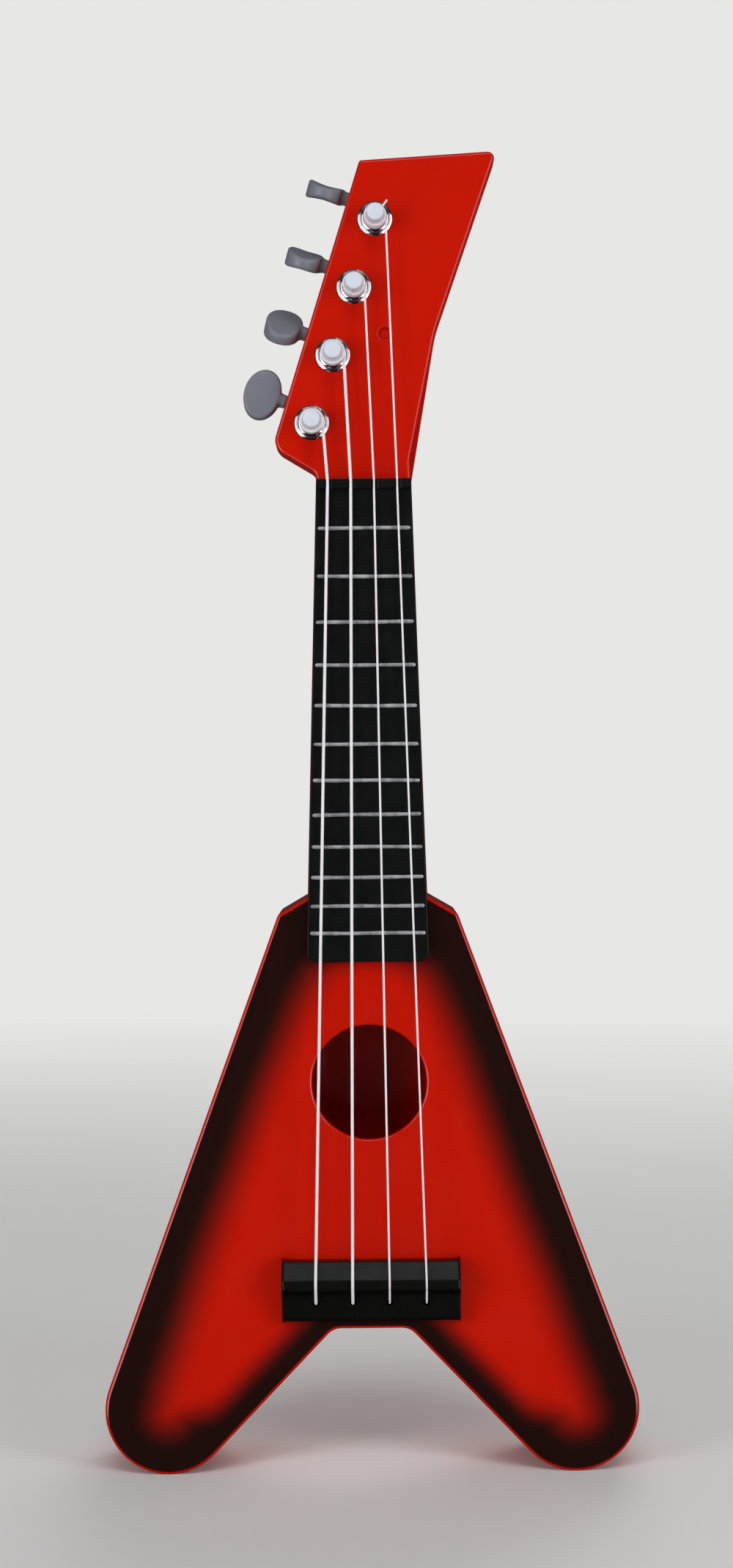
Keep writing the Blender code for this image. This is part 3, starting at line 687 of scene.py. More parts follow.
def turned_metal(name, colour, roughness):
    """Machined metal: fine bands across Z, and uneven tarnish."""
    nodes = Nodes(name, roughness, metallic=1.0)
    dull = (*[c * 0.7 for c in colour[:3]], 1.0)
    nodes.colour(nodes.mix(nodes.ramp(nodes.noise(3.0, 4.0), 0.35, 0.7), colour, dull))
    bands = nodes.noise(0.5, 2.0, stretch=(0.2, 0.2, 3.0))
    nodes.roughness(nodes.ramp(bands, 0.3, 0.7, roughness * 0.8, roughness * 1.3))
    nodes.bump(bands, 0.01)
    return nodes.material


def make_materials():
    return {
        "red": red_plastic(),
        "board": moulded_plastic("board_plastic", BOARD_BLACK, 0.34, 0.35, 0.004, 0.2),
        "frets": fret_paint(),
        "bridge": moulded_plastic("bridge_plastic", BRIDGE_BLACK, 0.26, 0.6, 0.004, 0.22),
        "knob": moulded_plastic("knob_plastic", KNOB_GREY, 0.4, 0.3, 0.003),
        "post": white_plastic(),
        "nylon": nylon(),
        "chrome": chrome(),
        "steel": turned_metal("steel", STEEL, 0.28),
        "brass": turned_metal("brass", BRASS, 0.3),
    }


# The case


def shaft_holes():
    profile = [(SHAFT_INNER_END - 1, SHAFT_HOLE_RADIUS), (WALL_OUTER + 3, SHAFT_HOLE_RADIUS)]
    return [moved(turned(profile, 32), shaft) for shaft in knob_frames()]


def bearing_ribs(near, far):
    """A rib across each worm shaft's inner end, between two depths."""
    low = (-RIB_HALF_WIDTH, SPLIT - far, BEARING_RIB[0])
    high = (RIB_HALF_WIDTH, SPLIT - near, BEARING_RIB[1])
    return [moved(box(low, high), shaft) for shaft in knob_frames()]


def make_front(materials):
    corners = HEAD_CORNERS + BODY_CORNERS
    rings = edge_rings(corners, SPLIT - SEAM, FACE, FRONT_EDGE)
    shell = new_object("case_front", mesh_of("case_front", [rings]))
    inner = outline(corners, WALL)
    cut(shell, [[at_depth(inner, FACE + WALL), at_depth(inner, SPLIT + 1)]])

    face = SPLIT - FACE
    boss = [(SEAM + GAP, FRONT_BOSS_RADIUS), (face - WALL / 2, FRONT_BOSS_RADIUS)]
    bosses = [moved(turned(boss, 32), towards_front(x, z)) for x, z in CASE_SCREWS]
    add(shell, bosses + bearing_ribs(FACE + WALL / 2, SPLIT - SEAM - GAP))

    thread = [(-1.0, SCREW_HOLE_RADIUS), (face - WALL - GAP, SCREW_HOLE_RADIUS)]
    sleeve = [
        (face - WALL - 1, BUSHING_SLEEVE_RADIUS + GAP),
        (face + 1, BUSHING_SLEEVE_RADIUS + GAP),
    ]
    rim = SOUND_HOLE_RIM
    wide = SOUND_HOLE_RADIUS + rim
    mouth = [(0.5, SOUND_HOLE_RADIUS)]
    mouth += arc((face - rim, wide), rim, 180, 90, 8)
    mouth += [(face + 1, wide)]
    bead = [(face - 0.5, RECESS_RADIUS - 0.25), (face - 0.5, RECESS_RADIUS + 0.2)]
    bead += arc((face - 0.1, RECESS_RADIUS), 0.25, 20, 160)
    recess = [(face - RECESS_DEPTH * 0.75, 0.05), (face - RECESS_DEPTH * 0.85, 0.9)]
    recess += [(face - RECESS_DEPTH, RECESS_RADIUS - 0.5), (face - 0.5, RECESS_RADIUS - 0.35)]
    recess += [(face + 1.0, RECESS_RADIUS - 0.3)]
    holes = [moved(turned(thread, 32), towards_front(x, z)) for x, z in CASE_SCREWS]
    for post in post_frames():
        holes.append(moved(turned(sleeve, 48), post))
    holes.append(moved(turned(mouth, 128), towards_front(*SOUND_HOLE)))
    holes.append(moved(turned(recess, 48), towards_front(*RECESS)))
    add(shell, [moved(turned(bead, 48), towards_front(*RECESS))])
    cut(shell, holes + shaft_holes())
    applied(shell)
    smoothed(shell)
    finished(shell, materials["red"], "guitar", "case_plastic", "front_shell")


def neck_half_width(z):
    top_x, top_z, _ = HEAD_CORNERS[-1]
    low_x, low_z, _ = BODY_CORNERS[0]
    return top_x + (low_x - top_x) * (top_z - z) / (top_z - low_z)


def neck_sections(inset=0.0, overrun=0.0):
    """Half-round sections of the neck's back, thick at the heel and thin at the headstock."""
    first = NECK_STATIONS[0][0] + NECK_OVERLAP - overrun
    last = NECK_STATIONS[-1][0] - NECK_OVERLAP + overrun
    flat = SPLIT + SEAM
    rings = []
    count = 64
    for i in range(count + 1):
        z = first + (last - first) * i / count
        back = through(NECK_STATIONS, z)
        width = neck_half_width(min(z, NECK_TOP_Z)) - inset
        ring = []
        steps = 36
        for k in range(steps + 1):
            angle = math.pi * k / steps
            depth = (back - inset - flat) * math.sin(angle) ** NECK_SQUARENESS
            y = flat + depth if 0 < k < steps else flat - overrun
            ring.append(Vector((-width * math.cos(angle), y, z)))
        rings.append(ring)
    return rings


def case_back(z):
    """The depth of the case's back behind a screw."""
    if z < BODY_CORNERS[0][1]:
        return BODY_BACK
    return NECK_BACK if z < NUT_Z else HEAD_BACK


def make_back(materials):
    rim = SPLIT + SEAM
    rings = edge_rings(BODY_CORNERS, rim, BODY_BACK, BACK_EDGE, steps=8)
    shell = new_object("case_back", mesh_of("case_back", [rings]))
    head = HEAD_CORNERS[:-1] + HEAD_BACK_FOOT
    add(shell, [edge_rings(head, rim, HEAD_BACK, HEAD_EDGE, steps=10)])
    add(shell, [neck_sections()])

    body_cavity = outline(BODY_CORNERS, WALL)
    cut(shell, [[at_depth(body_cavity, rim - 1), at_depth(body_cavity, BODY_BACK - WALL)]])
    cut(shell, [edge_rings(head, rim - 1, HEAD_BACK - WALL, HEAD_EDGE - WALL, 6, WALL)])
    cut(shell, [neck_sections(inset=WALL, overrun=NECK_OVERLAP)])

    bosses = []
    wells = []
    for x, z in CASE_SCREWS:
        back = SPLIT - case_back(z)
        boss = [(-SEAM - GAP, BACK_BOSS_RADIUS), (back + WALL / 2, BACK_BOSS_RADIUS)]
        well = [
            (2.0, SCREW_HOLE_RADIUS),
            (-SEAT_DEPTH, SCREW_HOLE_RADIUS),
            (-SEAT_DEPTH - 0.01, WELL_RADIUS),
            (back + 0.4, WELL_RADIUS),
            (back, WELL_RADIUS + 0.4),
            (back - 2, WELL_RADIUS + 0.45),
        ]
        bosses.append(moved(turned(boss, 32), towards_front(x, z)))
        wells.append(moved(turned(well, 40), towards_front(x, z)))
    add(shell, bosses + bearing_ribs(SPLIT + SEAM + GAP, HEAD_BACK - WALL / 2))
    cut(shell, wells + shaft_holes())
    applied(shell)
    smoothed(shell)
    finished(shell, materials["red"], "guitar", "case_plastic", "back_shell")


# Fretboard and bridge


def board_half_width(z):
    run = (NUT_Z - z) / (NUT_Z - BOARD_END_Z)
    return NUT_HALF_WIDTH + (BOARD_END_HALF_WIDTH - NUT_HALF_WIDTH) * run


def make_fretboard(materials):
    end = BOARD_END_Z
    wide = BOARD_END_HALF_WIDTH
    right = [
        (NUT_HALF_WIDTH, NUT_Z, 0.4),
        (wide, end + BOARD_CHAMFER, 0.9),
        (wide - BOARD_CHAMFER, end, 0.9),
    ]
    corners = right + [(-x, z, radius) for x, z, radius in reversed(right)]
    rings = edge_rings(corners, FACE - TOUCH, BOARD_TOP, BOARD_ROUND, steps=5)
    board = new_object("fretboard_fine", mesh_of("fretboard_fine", [rings]))

    # The nut's profile is rounded on top, and runs across the board
    half = NUT_HALF_WIDTH - 0.05
    nut_corners = [
        (NUT_Z - 0.15, BOARD_TOP + 0.5, 0.1),
        (NUT_Z - 0.15, NUT_TOP, NUT_ROUND * 0.6),
        (NUT_Z - NUT_LENGTH, NUT_TOP, NUT_ROUND),
        (NUT_Z - NUT_LENGTH, BOARD_TOP + 0.5, 0.1),
    ]
    nut = []
    for k in range(9):
        share = -1 + k / 4
        inset = 0.35 if abs(share) == 1 else 0.0
        x = half * (share if abs(share) == 1 else share * 0.985 / 0.75)
        section = outline([(-z, y, r) for z, y, r in nut_corners][::-1], inset)
        nut.append([Vector((x, p.y, -p.x)) for p in section])
    add(board, [nut])

    slots = []
    for k in range(len(STRING_RADII)):
        middle = SLOT_SPACING * (k - 1.5)
        slot_corners = [
            (middle - SLOT_WIDTH / 2, SLOT_FLOOR, 0.8),
            (middle - SLOT_WIDTH / 2 - 0.15, NUT_TOP - 3, 0.1),
            (middle + SLOT_WIDTH / 2 + 0.15, NUT_TOP - 3, 0.1),
            (middle + SLOT_WIDTH / 2, SLOT_FLOOR, 0.8),
        ]
        section = outline([(x, -y, r) for x, y, r in slot_corners])
        ends = (NUT_Z - NUT_LENGTH - 1, NUT_Z + 1)
        slots.append([[Vector((p.x, -p.y, z)) for p in section] for z in ends])
    cut(board, slots)
    applied(board)
    smoothed(board, 40.0)
    finished(board, materials["board"], "guitar", "board_plastic", "fretboard")


def fret_rings(z, reach, chance):
    """One fret ridge: a low rounded bar with rounded ends and a slightly uneven line."""
    rings = []
    count = 40
    tilt = chance.uniform(-0.12, 0.12)
    phases = [chance.uniform(0, 2 * math.pi) for _ in range(3)]
    for i in range(count + 1):
        along = -math.cos(math.pi * i / count)
        x = reach * along
        from_end = (reach - abs(x)) / (FRET_WIDTH / 2)
        swell = math.sqrt(max(0.02, 1 - max(0.0, 1 - from_end) ** 2))
        waves = (math.sin(x * 0.31 + phases[0]), math.sin(x * 0.83 + phases[1]))
        width = FRET_WIDTH / 2 * (1 + 0.05 * waves[0] + 0.04 * waves[1]) * swell
        middle = z + tilt * along + 0.05 * math.sin(x * 0.2 + phases[2])
        rise = FRET_RISE * (0.35 + 0.65 * swell)
        section = []
        for k in range(9):
            angle = math.pi * k / 8
            height = rise * math.sin(angle) ** 0.7 if 0 < k < 8 else -0.3
            section.append(Vector((x, BOARD_TOP - height, middle - width * math.cos(angle))))
        rings.append(section)
    return rings


def make_frets(materials):
    chance = random.Random(FRET_SEED)
    solids = []
    for n in range(1, FRET_COUNT + 1):
        z = FRET_ZERO_Z - SCALE_LENGTH * (1 - 2 ** (-n / SEMITONES))
        solids.append(fret_rings(z, board_half_width(z) - FRET_INSET, chance))
    frets = new_object("frets", mesh_of("frets", solids))
    smoothed(frets, 50.0)
    finished(frets, materials["frets"], "guitar", "board_plastic")


def make_bridge(materials):
    corners = [(z, -height, radius) for z, height, radius in BRIDGE_PROFILE]
    rings = []
    steps = 5
    for side in (-1, 1):
        angles = [math.pi / 2 * k / steps for k in range(steps + 1)]
        if side == -1:
            angles.reverse()
        for angle in angles:
            inset = BRIDGE_END_ROUND * (1 - math.cos(angle))
            x = side * (BRIDGE_HALF_WIDTH - BRIDGE_END_ROUND * (1 - math.sin(angle)))
            section = outline([(z, -y, r) for z, y, r in corners][::-1], inset)
            rings.append([Vector((x, FACE - p.y, p.x)) for p in section])
    bridge = new_object("bridge_fine", mesh_of("bridge_fine", [rings]))

    start = SPLIT - FACE
    anchor = [
        (start + 2.0, ANCHOR_RADIUS),
        (start + 4.2, ANCHOR_RADIUS),
        (start + 5.2, ANCHOR_RADIUS + 0.6),
        (start + 8, ANCHOR_RADIUS + 0.7),
    ]
    holes = []
    for k, radius in enumerate(STRING_RADII):
        x = BRIDGE_STRING_SPACING * (1.5 - k)
        holes.append(moved(turned(anchor, 32), towards_front(x, ANCHOR_Z)))
        groove = [(-6.0, radius + 0.05), (6.0, radius + 0.05)]
        over = Vector((x, FACE - SADDLE_HEIGHT - radius * 0.4, sum(SADDLE_Z) / 2))
        holes.append(moved(turned(groove, 20), Matrix.Translation(over)))
    cut(bridge, holes)
    applied(bridge)
    smoothed(bridge, 40.0)
    finished(bridge, materials["bridge"], "guitar", "bridge_plastic", "bridge")


# Tuners


def bushing_mesh():
    """A sloped flange with a raised, sloped inner ring, and a sleeve through the face."""
    face = SPLIT - FACE
    bore = POST_RADIUS + GAP
    profile = [(face - WALL - 1.2, bore), (face - WALL - 1.2, BUSHING_SLEEVE_RADIUS)]
    profile += [(face + TOUCH, BUSHING_SLEEVE_RADIUS), (face + TOUCH, FLANGE_RADIUS - 0.1)]
    profile += arc((face + 0.3, FLANGE_RADIUS - 0.2), 0.2, 0, 62, 4)
    profile += arc((face + 0.55, 4.95), 0.3, 62, 110, 4)
    profile += [(face + 0.75, 4.72), (face + 1.15, 4.68)]
    profile += arc((face + 1.3, 4.45), 0.22, 0, 58, 4)
    profile += arc((face + 1.62, 3.95), 0.28, 58, 120, 4)
    profile += [(face + 1.5, 3.3), (face + 0.8, bore)]
    mesh = mesh_of("bushing", [turned(profile, 96)], closed=True)
    mesh.shade_smooth()
    mesh.set_sharp_from_angle(angle=math.radians(50))
    return mesh


def post_mesh():
    """A post with a skirt that flares down over the bushing, a crease and a rounded cap."""
    face = SPLIT - FACE
    profile = [(2.05, 0.3), (2.05, POST_RADIUS), (face + 2.0, POST_RADIUS)]
    profile += [(face + 2.0, 3.5)]
    profile += arc((face + 2.35, 3.5), 0.35, 0, 60)
    for k in range(12):
        height = POST_SKIRT[0][0] + (POST_SKIRT[-1][0] - POST_SKIRT[0][0]) * k / 11
        profile.append((face + height, through(POST_SKIRT, height)))
    profile += [(face + 7.3, 2.98), (face + 7.5, 3.03), (face + 9.7, 2.86)]
    profile += arc((face + 9.85, 2.2), 0.65, 0, 75, 8)
    profile += [(face + 10.55, 1.3), (face + 10.6, 0.1)]
    mesh = mesh_of("string_post", [turned(profile, 64)])
    mesh.shade_smooth()
    mesh.set_sharp_from_angle(angle=math.radians(50))
    return mesh


def knob_half_thickness(z):
    """Half the paddle's thickness at a place along the shaft: the faces are dished."""
    half_length = KNOB_LENGTH / 2
    end = KNOB_ENDS_THICK[1] if z > 0 else KNOB_ENDS_THICK[0]
    share = min(abs(z) / half_length, 1.0)
    return (KNOB_WAIST_THICK + (end - KNOB_WAIST_THICK) * share**1.6) / 2


def knob_mesh():
    """An oval paddle with dished faces and a rounded rim, and its collar and shaft hole."""
    sides = 72
    half_width = KNOB_WIDTH / 2
    half_length = KNOB_LENGTH / 2
    face_steps = 10
    round_steps = 6
    levels = [(share / face_steps, None) for share in range(1, face_steps + 1)]
    levels += [(1.0, math.pi / 2 * k / round_steps) for k in range(1, round_steps + 1)]
    rings = []
    for side in (1, -1):
        ordered = levels if side == 1 else levels[::-1]
        for share, angle in ordered:
            ring = []
            lift = KNOB_ROUND * (1 - math.cos(angle)) if angle else 0.0
            grow = KNOB_ROUND * math.sin(angle) if angle else 0.0
            for k in range(sides):
                turn = 2 * math.pi * k / sides
                x = ((half_width - KNOB_ROUND) * share + grow) * math.cos(turn)
                z = ((half_length - KNOB_ROUND) * share + grow) * math.sin(turn)
                crown = KNOB_CROWN * (x / half_width) ** 2
                y = side * (knob_half_thickness(z) - lift - crown)
                ring.append(Vector((x, y, KNOB_CENTRE + z)))
            rings.append(ring)
    paddle = new_object("knob_blank", mesh_of("tuning_knob", [rings]))
    inner_end = KNOB_CENTRE - half_length
    wall = WALL_OUTER + COLLAR_GAP
    collar = [(wall, COLLAR_RADIUS - 0.2), (wall + 0.2, COLLAR_RADIUS)]
    collar += [(inner_end - 0.6, COLLAR_RADIUS), (inner_end + 0.2, COLLAR_RADIUS + 0.35)]
    collar += [(inner_end + 1.5, COLLAR_RADIUS + 0.4)]
    add(paddle, [turned(collar, 48)])
    bore = [(WALL_OUTER, SHAFT_HOLE_RADIUS), (SHAFT_OUTER_END + GAP, SHAFT_HOLE_RADIUS)]
    cut(paddle, [turned(bore, 32)])
    applied(paddle)
    mesh = paddle.data
    mesh.shade_smooth()
    mesh.set_sharp_from_angle(angle=math.radians(38))
    bpy.data.objects.remove(paddle)
    return mesh


def make_tuners(materials):
    bushing = bushing_mesh()
    post = post_mesh()
    knob = knob_mesh()
    frames = zip(post_frames(), knob_frames())
    for i, (post_frame, knob_frame) in enumerate(frames, start=1):
        ring = placed(f"bushing_ring_{i}", bushing, post_frame)
        finished(ring, materials["chrome"], "guitar", "bushing_chrome", f"bushing_{i}")
        cap = placed(f"post_{i}_fine", post, post_frame)
        finished(cap, materials["post"], f"post_{i}", "post_plastic", f"string_post_{i}")
        turn = Matrix.Rotation(math.radians(KNOB_REST_ANGLES[i - 1]), 4, "Z")
        paddle = placed(f"knob_{i}_fine", knob, knob_frame @ turn)
        finished(paddle, materials["knob"], f"knob_{i}", "knob_plastic", f"tuning_knob_{i}")


# Strings


def rounded_route(points, radius, steps=6):
    """The route with each bend turned into a curve that starts radius away from it."""
    made = [points[0]]
    for before, here, after in zip(points, points[1:], points[2:]):
        back = min(radius, (here - before).length * 0.45)
        ahead = min(radius, (after - here).length * 0.45)
        start = here + (before - here).normalized() * back
        end = here + (after - here).normalized() * ahead
        for k in range(steps + 1):
            t = k / steps
            made.append(start * (1 - t) ** 2 + here * 2 * t * (1 - t) + end * t**2)
    made.append(points[-1])
    return made


def tube(name, routes, radius):
    """A curve with a round bevel along each route."""
    curve = bpy.data.curves.new(name, "CURVE")
    curve.dimensions = "3D"
    curve.bevel_depth = radius * MM
    curve.bevel_resolution = 4
    curve.use_fill_caps = True
    for route in routes:
        spline = curve.splines.new("POLY")
        spline.points.add(len(route) - 1)
        for point, where in zip(spline.points, route):
            point.co = (*(where * MM), 1.0)
        spline.use_smooth = True
    return new_object(name, curve)


def string_line(i, post, radius):
    """Where a string meets the nut, and its heading from there past its post's right side."""
    nut = Vector((SLOT_SPACING * (1.5 - i) + STRING_SIDESTEP, NUT_Z - NUT_LENGTH / 2))
    flat = Vector((post.x, post.z)) - nut
    lean = math.asin((WINDING_RADIUS + radius) / flat.length)
    return nut, Matrix.Rotation(-lean, 2) @ flat.normalized()


def make_strings(materials):
    for i, post_frame in enumerate(post_frames()):
        post = post_frame.translation
        radius = STRING_RADII[i]
        turn_radius = WINDING_RADIUS + radius
        nut, heading = string_line(i, post, radius)
        from_nut = Vector((post.x, post.z)) - nut
        run = math.sqrt(from_nut.length**2 - turn_radius**2)
        nut_y = SLOT_FLOOR - radius
        saddle_y = FACE - SADDLE_HEIGHT - radius * 0.8
        post_y = FACE - POST_STRING_HEIGHT
        x = BRIDGE_STRING_SPACING * (1.5 - i)
        touch = nut + heading * run
        route = [
            Vector((x, FACE - 2.6, ANCHOR_Z - 0.3)),
            Vector((x, FACE - 5.4, ANCHOR_Z)),
            Vector((x, saddle_y + 0.5, SADDLE_Z[0] + 0.1)),
            Vector((x, saddle_y, SADDLE_Z[1] - 0.6)),
            Vector((nut.x, nut_y, NUT_Z - NUT_LENGTH + 0.4)),
            Vector((nut.x, nut_y, NUT_Z - 0.6)),
            Vector((touch.x, post_y, touch.y)),
        ]
        string = tube(f"string_{i + 1}_fine", [rounded_route(route, 1.2)], radius)
        finished(string, materials["nylon"], "guitar", "string_nylon", f"string_{i + 1}")

        # The winding climbs the post from where the string touches it
        start = math.atan2(heading.y, heading.x) - math.pi / 2
        turns = WINDING_TURNS[i]
        helix = []
        count = round(turns * 40)
        for k in range(count + 1):
            angle = start + 2 * math.pi * turns * k / count
            along = (turns * k / count) * 2.02 * radius
            out = Vector((math.cos(angle), 0.0, math.sin(angle))) * turn_radius
            helix.append(Vector((post.x, post_y - along, post.z)) + out)
        tail_y = post_y - turns * radius
        tail_angle = math.radians(TAIL_ANGLES[i])
        out = Vector((math.cos(tail_angle), 0.0, math.sin(tail_angle)))
        centre = Vector((post.x, tail_y, post.z))
        tail_end = centre + out * TAIL_ENDS[i] + FRONTWARD * 0.5
        tail = [centre + out * 2.0, centre + out * (TAIL_ENDS[i] * 0.6), tail_end]
        name = f"winding_{i + 1}_fine"
        winding = tube(name, [helix, rounded_route(tail, 1.0)], radius)
        node = f"string_winding_{i + 1}"
        finished(winding, materials["nylon"], f"post_{i + 1}", "string_nylon", node)


# Screws, and the CAD pieces that keep their shape


def screw_mesh(length):
    """A pan-head screw with a cross recess; its shank runs along local +Z from the head."""
    profile = [(-HEAD_HEIGHT, 0.3)]
    profile += arc((-HEAD_HEIGHT + 1.1, HEAD_RADIUS - 1.1), 1.1, -90, 0, 8)
    profile += [(0.0, HEAD_RADIUS), (0.0, SCREW_RADIUS)]
    root = SCREW_RADIUS * 0.72
    z = 0.6
    while z < length - 1.6:
        profile += [(z, root), (z + THREAD_PITCH / 2, SCREW_RADIUS)]
        z += THREAD_PITCH
    profile += [(length - 1.0, root), (length, 0.3)]
    screw = new_object("screw_blank", mesh_of("case_screw", [turned(profile, 40)]))
    cross = []
    for wide, narrow in ((1.5, 0.32), (0.32, 1.5)):
        low, high = -HEAD_HEIGHT - 0.5, -HEAD_HEIGHT + 1.0
        rings = []
        for level, share in ((low, 1.15), (high, 0.55)):
            x, y = wide * share, narrow * max(share, 0.8)
            corners = [(-x, -y), (x, -y), (x, y), (-x, y)]
            rings.append([Vector((px, py, level)) for px, py in corners])
        cross.append(rings)
    cut(screw, cross[:1])
    cut(screw, cross[1:])
    applied(screw)
    mesh = screw.data
    mesh.shade_smooth()
    mesh.set_sharp_from_angle(angle=math.radians(30))
    bpy.data.objects.remove(screw)
    return mesh


def make_screws(materials):
    low, high = box_of("case_screw_1")
    length = high.y - low.y - HEAD_HEIGHT
    mesh = screw_mesh(length)
    for i in range(1, len(CASE_SCREWS) + 1):
        low, high = box_of(f"case_screw_{i}")
        middle = (low + high) / 2
        matrix = towards_front(middle.x, middle.z, high.y - HEAD_HEIGHT)
        screw = placed(f"screw_{i}_fine", mesh, matrix @ Matrix.Rotation(0.7 * i, 4, "Z"))
        finished(screw, materials["steel"], "guitar", "screw_steel", f"case_screw_{i}")


def finish_cad_nodes(materials):
    """The hidden shafts, gears and small screws keep the solids' shape."""
    finishes = {
        "worm_shaft": ("steel", "shaft_steel"),
        "post_gear": ("brass", "gear_brass"),
        "gear_screw": ("steel", "screw_steel"),
        "bridge_screw": ("steel", "screw_steel"),
        "fretboard_screw": ("steel", "screw_steel"),
    }
    for name, node in frame["nodes"].items():
        kind = name.rstrip("0123456789").rstrip("_")
        if kind in finishes:
            material, slot = finishes[kind]
            node.data.materials.clear()
            node.data.materials.append(materials[material])


# Stage, light and camera

PALE = (0.80, 0.80, 0.79, 1.0)
FILL = (0.23, 0.23, 0.23, 1.0)
ROOM_LOW = 0.006
ROOM_HIGH = 0.04
FLOOR_RADIUS = 6.0
FLOOR_FADE = (0.35, 1.6)
LIT_MIDDLE = (0.0, 0.0, 0.22)
CARD_RADIANCE = 1.4
LOW_CARD_RADIANCE = 1.8
VIEW_DISTANCE = 0.76
VIEW_HEIGHT = 0.5126
VIEW_MIDDLE = 0.5216
VIEW_ROLL = 0.54
LONG_SIDE = 36.0


def make_floor():
    """A pale floor that melts into the pale surroundings away from the guitar."""
    bm = bmesh.new()
    bmesh.ops.create_circle(bm, cap_ends=True, segments=96, radius=FLOOR_RADIUS)
    mesh = bpy.data.meshes.new("floor")
    bm.to_mesh(mesh)
    bm.free()
    floor = new_object("floor", mesh)
    floor.location.z = CAD_BOX[0].z
    material = bpy.data.materials.new("floor")
    material.use_nodes = True
    tree = material.node_tree
    shader = tree.nodes["Principled BSDF"]
    shader.inputs["Base Color"].default_value = PALE
    shader.inputs["Roughness"].default_value = 0.8
    coordinates = tree.nodes.new("ShaderNodeTexCoord")
    length = tree.nodes.new("ShaderNodeVectorMath")
    length.operation = "LENGTH"
    tree.links.new(coordinates.outputs["Object"], length.inputs[0])
    fade = tree.nodes.new("ShaderNodeMapRange")
    fade.interpolation_type = "SMOOTHSTEP"
    fade.inputs["From Min"].default_value, fade.inputs["From Max"].default_value = FLOOR_FADE
    tree.links.new(length.outputs["Value"], fade.inputs["Value"])
    clear = tree.nodes.new("ShaderNodeBsdfTransparent")
    mix = tree.nodes.new("ShaderNodeMixShader")
    tree.links.new(fade.outputs[0], mix.inputs[0])
    tree.links.new(shader.outputs[0], mix.inputs[1])
    tree.links.new(clear.outputs[0], mix.inputs[2])
    tree.links.new(mix.outputs[0], tree.nodes["Material Output"].inputs[0])
    mesh.materials.append(material)
    floor.visible_glossy = False


def make_world():
    """Pale to the camera, a soft fill for diffuse light, and a dim room in reflections."""
    world = bpy.data.worlds.new("room")
    bpy.context.scene.world = world
    world.use_nodes = True
    tree = world.node_tree
    background = tree.nodes["Background"]
    direction = tree.nodes.new("ShaderNodeTexCoord")
    height = tree.nodes.new("ShaderNodeSeparateXYZ")
    tree.links.new(direction.outputs["Generated"], height.inputs[0])
    room = tree.nodes.new("ShaderNodeMapRange")
    for name, value in (
        ("From Min", -1.0),
        ("From Max", 1.0),
        ("To Min", ROOM_LOW),
        ("To Max", ROOM_HIGH),
    ):
        room.inputs[name].default_value = value
    tree.links.new(height.outputs["Z"], room.inputs["Value"])
    ray = tree.nodes.new("ShaderNodeLightPath")
    in_reflections = tree.nodes.new("ShaderNodeMix")
    in_view = tree.nodes.new("ShaderNodeMix")
    for mix, chosen in ((in_reflections, "Is Glossy Ray"), (in_view, "Is Camera Ray")):
        mix.data_type = "RGBA"
        tree.links.new(ray.outputs[chosen], mix.inputs[0])
    in_reflections.inputs[6].default_value = FILL
    tree.links.new(room.outputs[0], in_reflections.inputs[7])
    tree.links.new(in_reflections.outputs[2], in_view.inputs[6])
    in_view.inputs[7].default_value = PALE
    tree.links.new(in_view.outputs[2], background.inputs["Color"])


def area_light(name, place, target, size, power, colour=(1.0, 1.0, 1.0)):
    data = bpy.data.lights.new(name, "AREA")
    data.shape = "RECTANGLE"
    data.size, data.size_y = size
    data.energy = power
    data.color = colour
    light = new_object(name, data)
    light.location = place
    light.rotation_mode = "QUATERNION"
    towards = Vector(target) - Vector(place)
    light.rotation_quaternion = towards.to_track_quat("-Z", "Y")
    return light


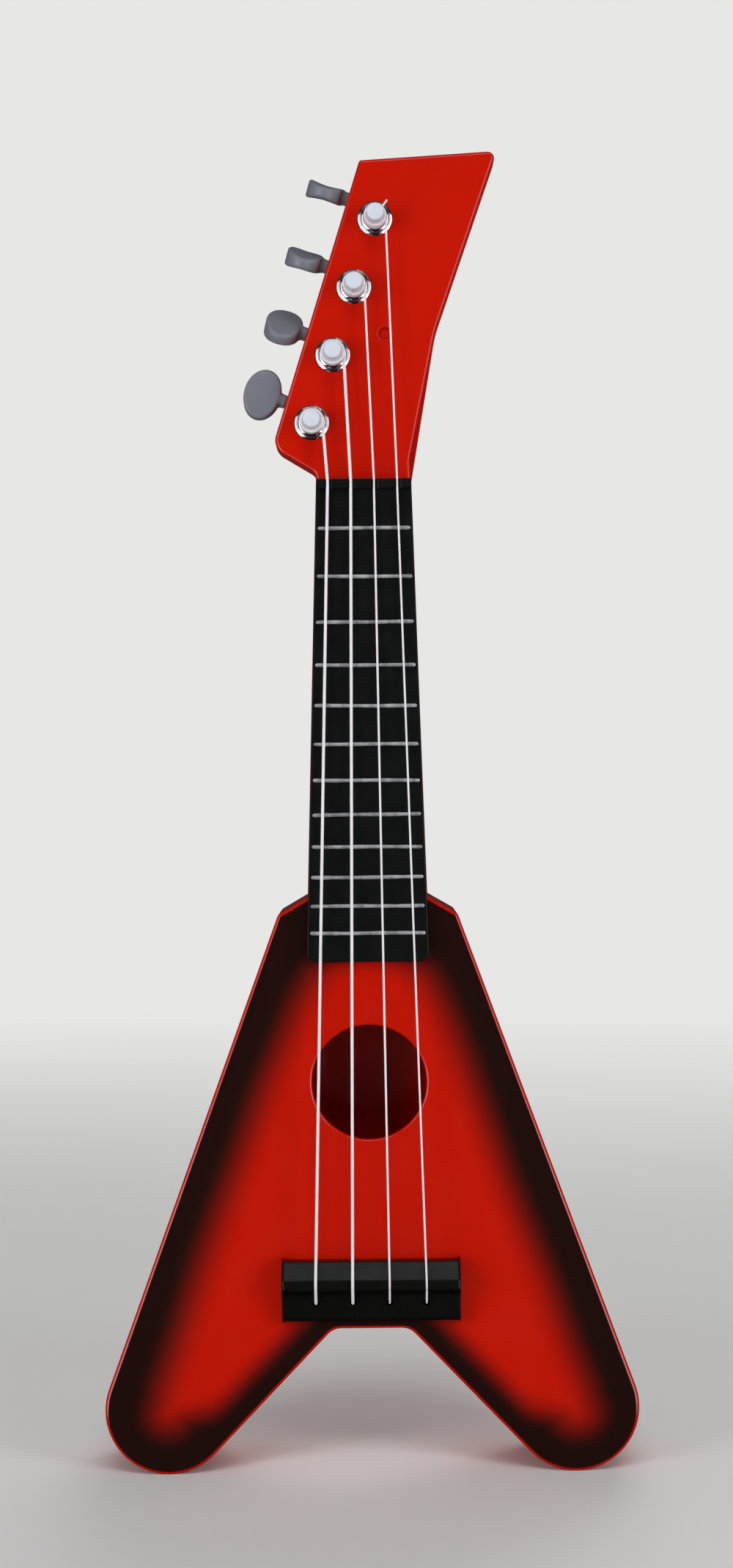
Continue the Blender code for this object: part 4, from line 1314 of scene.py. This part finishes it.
def soft_light(name, place, size, power, colour=(1.0, 1.0, 1.0)):
    """A light that falls on surfaces and doesn't show in their reflections."""
    light = area_light(name, place, LIT_MIDDLE, size, power, colour)
    light.visible_glossy = False


def card(name, place, target, size, radiance=CARD_RADIANCE):
    """A pale card that shows only in reflections."""
    power = radiance * math.pi * size[0] * size[1]
    light = area_light(name, place, target, size, power)
    light.visible_diffuse = False
    light.visible_camera = False


def make_lights():
    soft_light("left_softbox", (-1.0, -0.95, 0.3), (0.5, 1.0), 9.2)
    soft_light("right_softbox", (1.05, -0.9, 0.35), (0.45, 0.9), 7.9)
    soft_light("top_softbox", (0.0, -0.9, 1.25), (0.9, 0.5), 4.8, (0.93, 0.96, 1.0))
    soft_light("rear_softbox", (0.3, 1.3, 1.0), (1.0, 0.7), 8.0)
    headstock = (0.0, 0.0, 0.4)
    for name, side in (("left", -1), ("right", 1)):
        card(f"{name}_card", (side * 1.0, -0.85, 0.35), LIT_MIDDLE, (0.9, 1.3))
        low = (side * 0.5, -0.5, 0.02)
        card(f"{name}_low_card", low, headstock, (0.5, 0.4), LOW_CARD_RADIANCE)
    card("top_card", (0.0, -0.7, 1.3), LIT_MIDDLE, (1.2, 0.5))


def make_camera():
    data = bpy.data.cameras.new("camera")
    data.sensor_width = LONG_SIDE
    data.lens = LONG_SIDE * VIEW_DISTANCE / VIEW_HEIGHT
    data.clip_start = 0.01
    data.clip_end = 100.0
    camera = new_object("camera", data)
    low, high = CAD_BOX
    height = low.z + (high.z - low.z) * VIEW_MIDDLE
    camera.location = (0.0, FACE * MM - VIEW_DISTANCE, height)
    camera.rotation_euler = (math.pi / 2, math.radians(VIEW_ROLL), 0.0)
    bpy.context.scene.camera = camera


make_camera()
bpy.context.scene.view_settings.view_transform = "Standard"
materials = make_materials()
make_front(materials)
make_back(materials)
make_fretboard(materials)
make_frets(materials)
make_bridge(materials)
make_tuners(materials)
make_strings(materials)
make_screws(materials)
finish_cad_nodes(materials)
make_floor()
make_world()
make_lights()
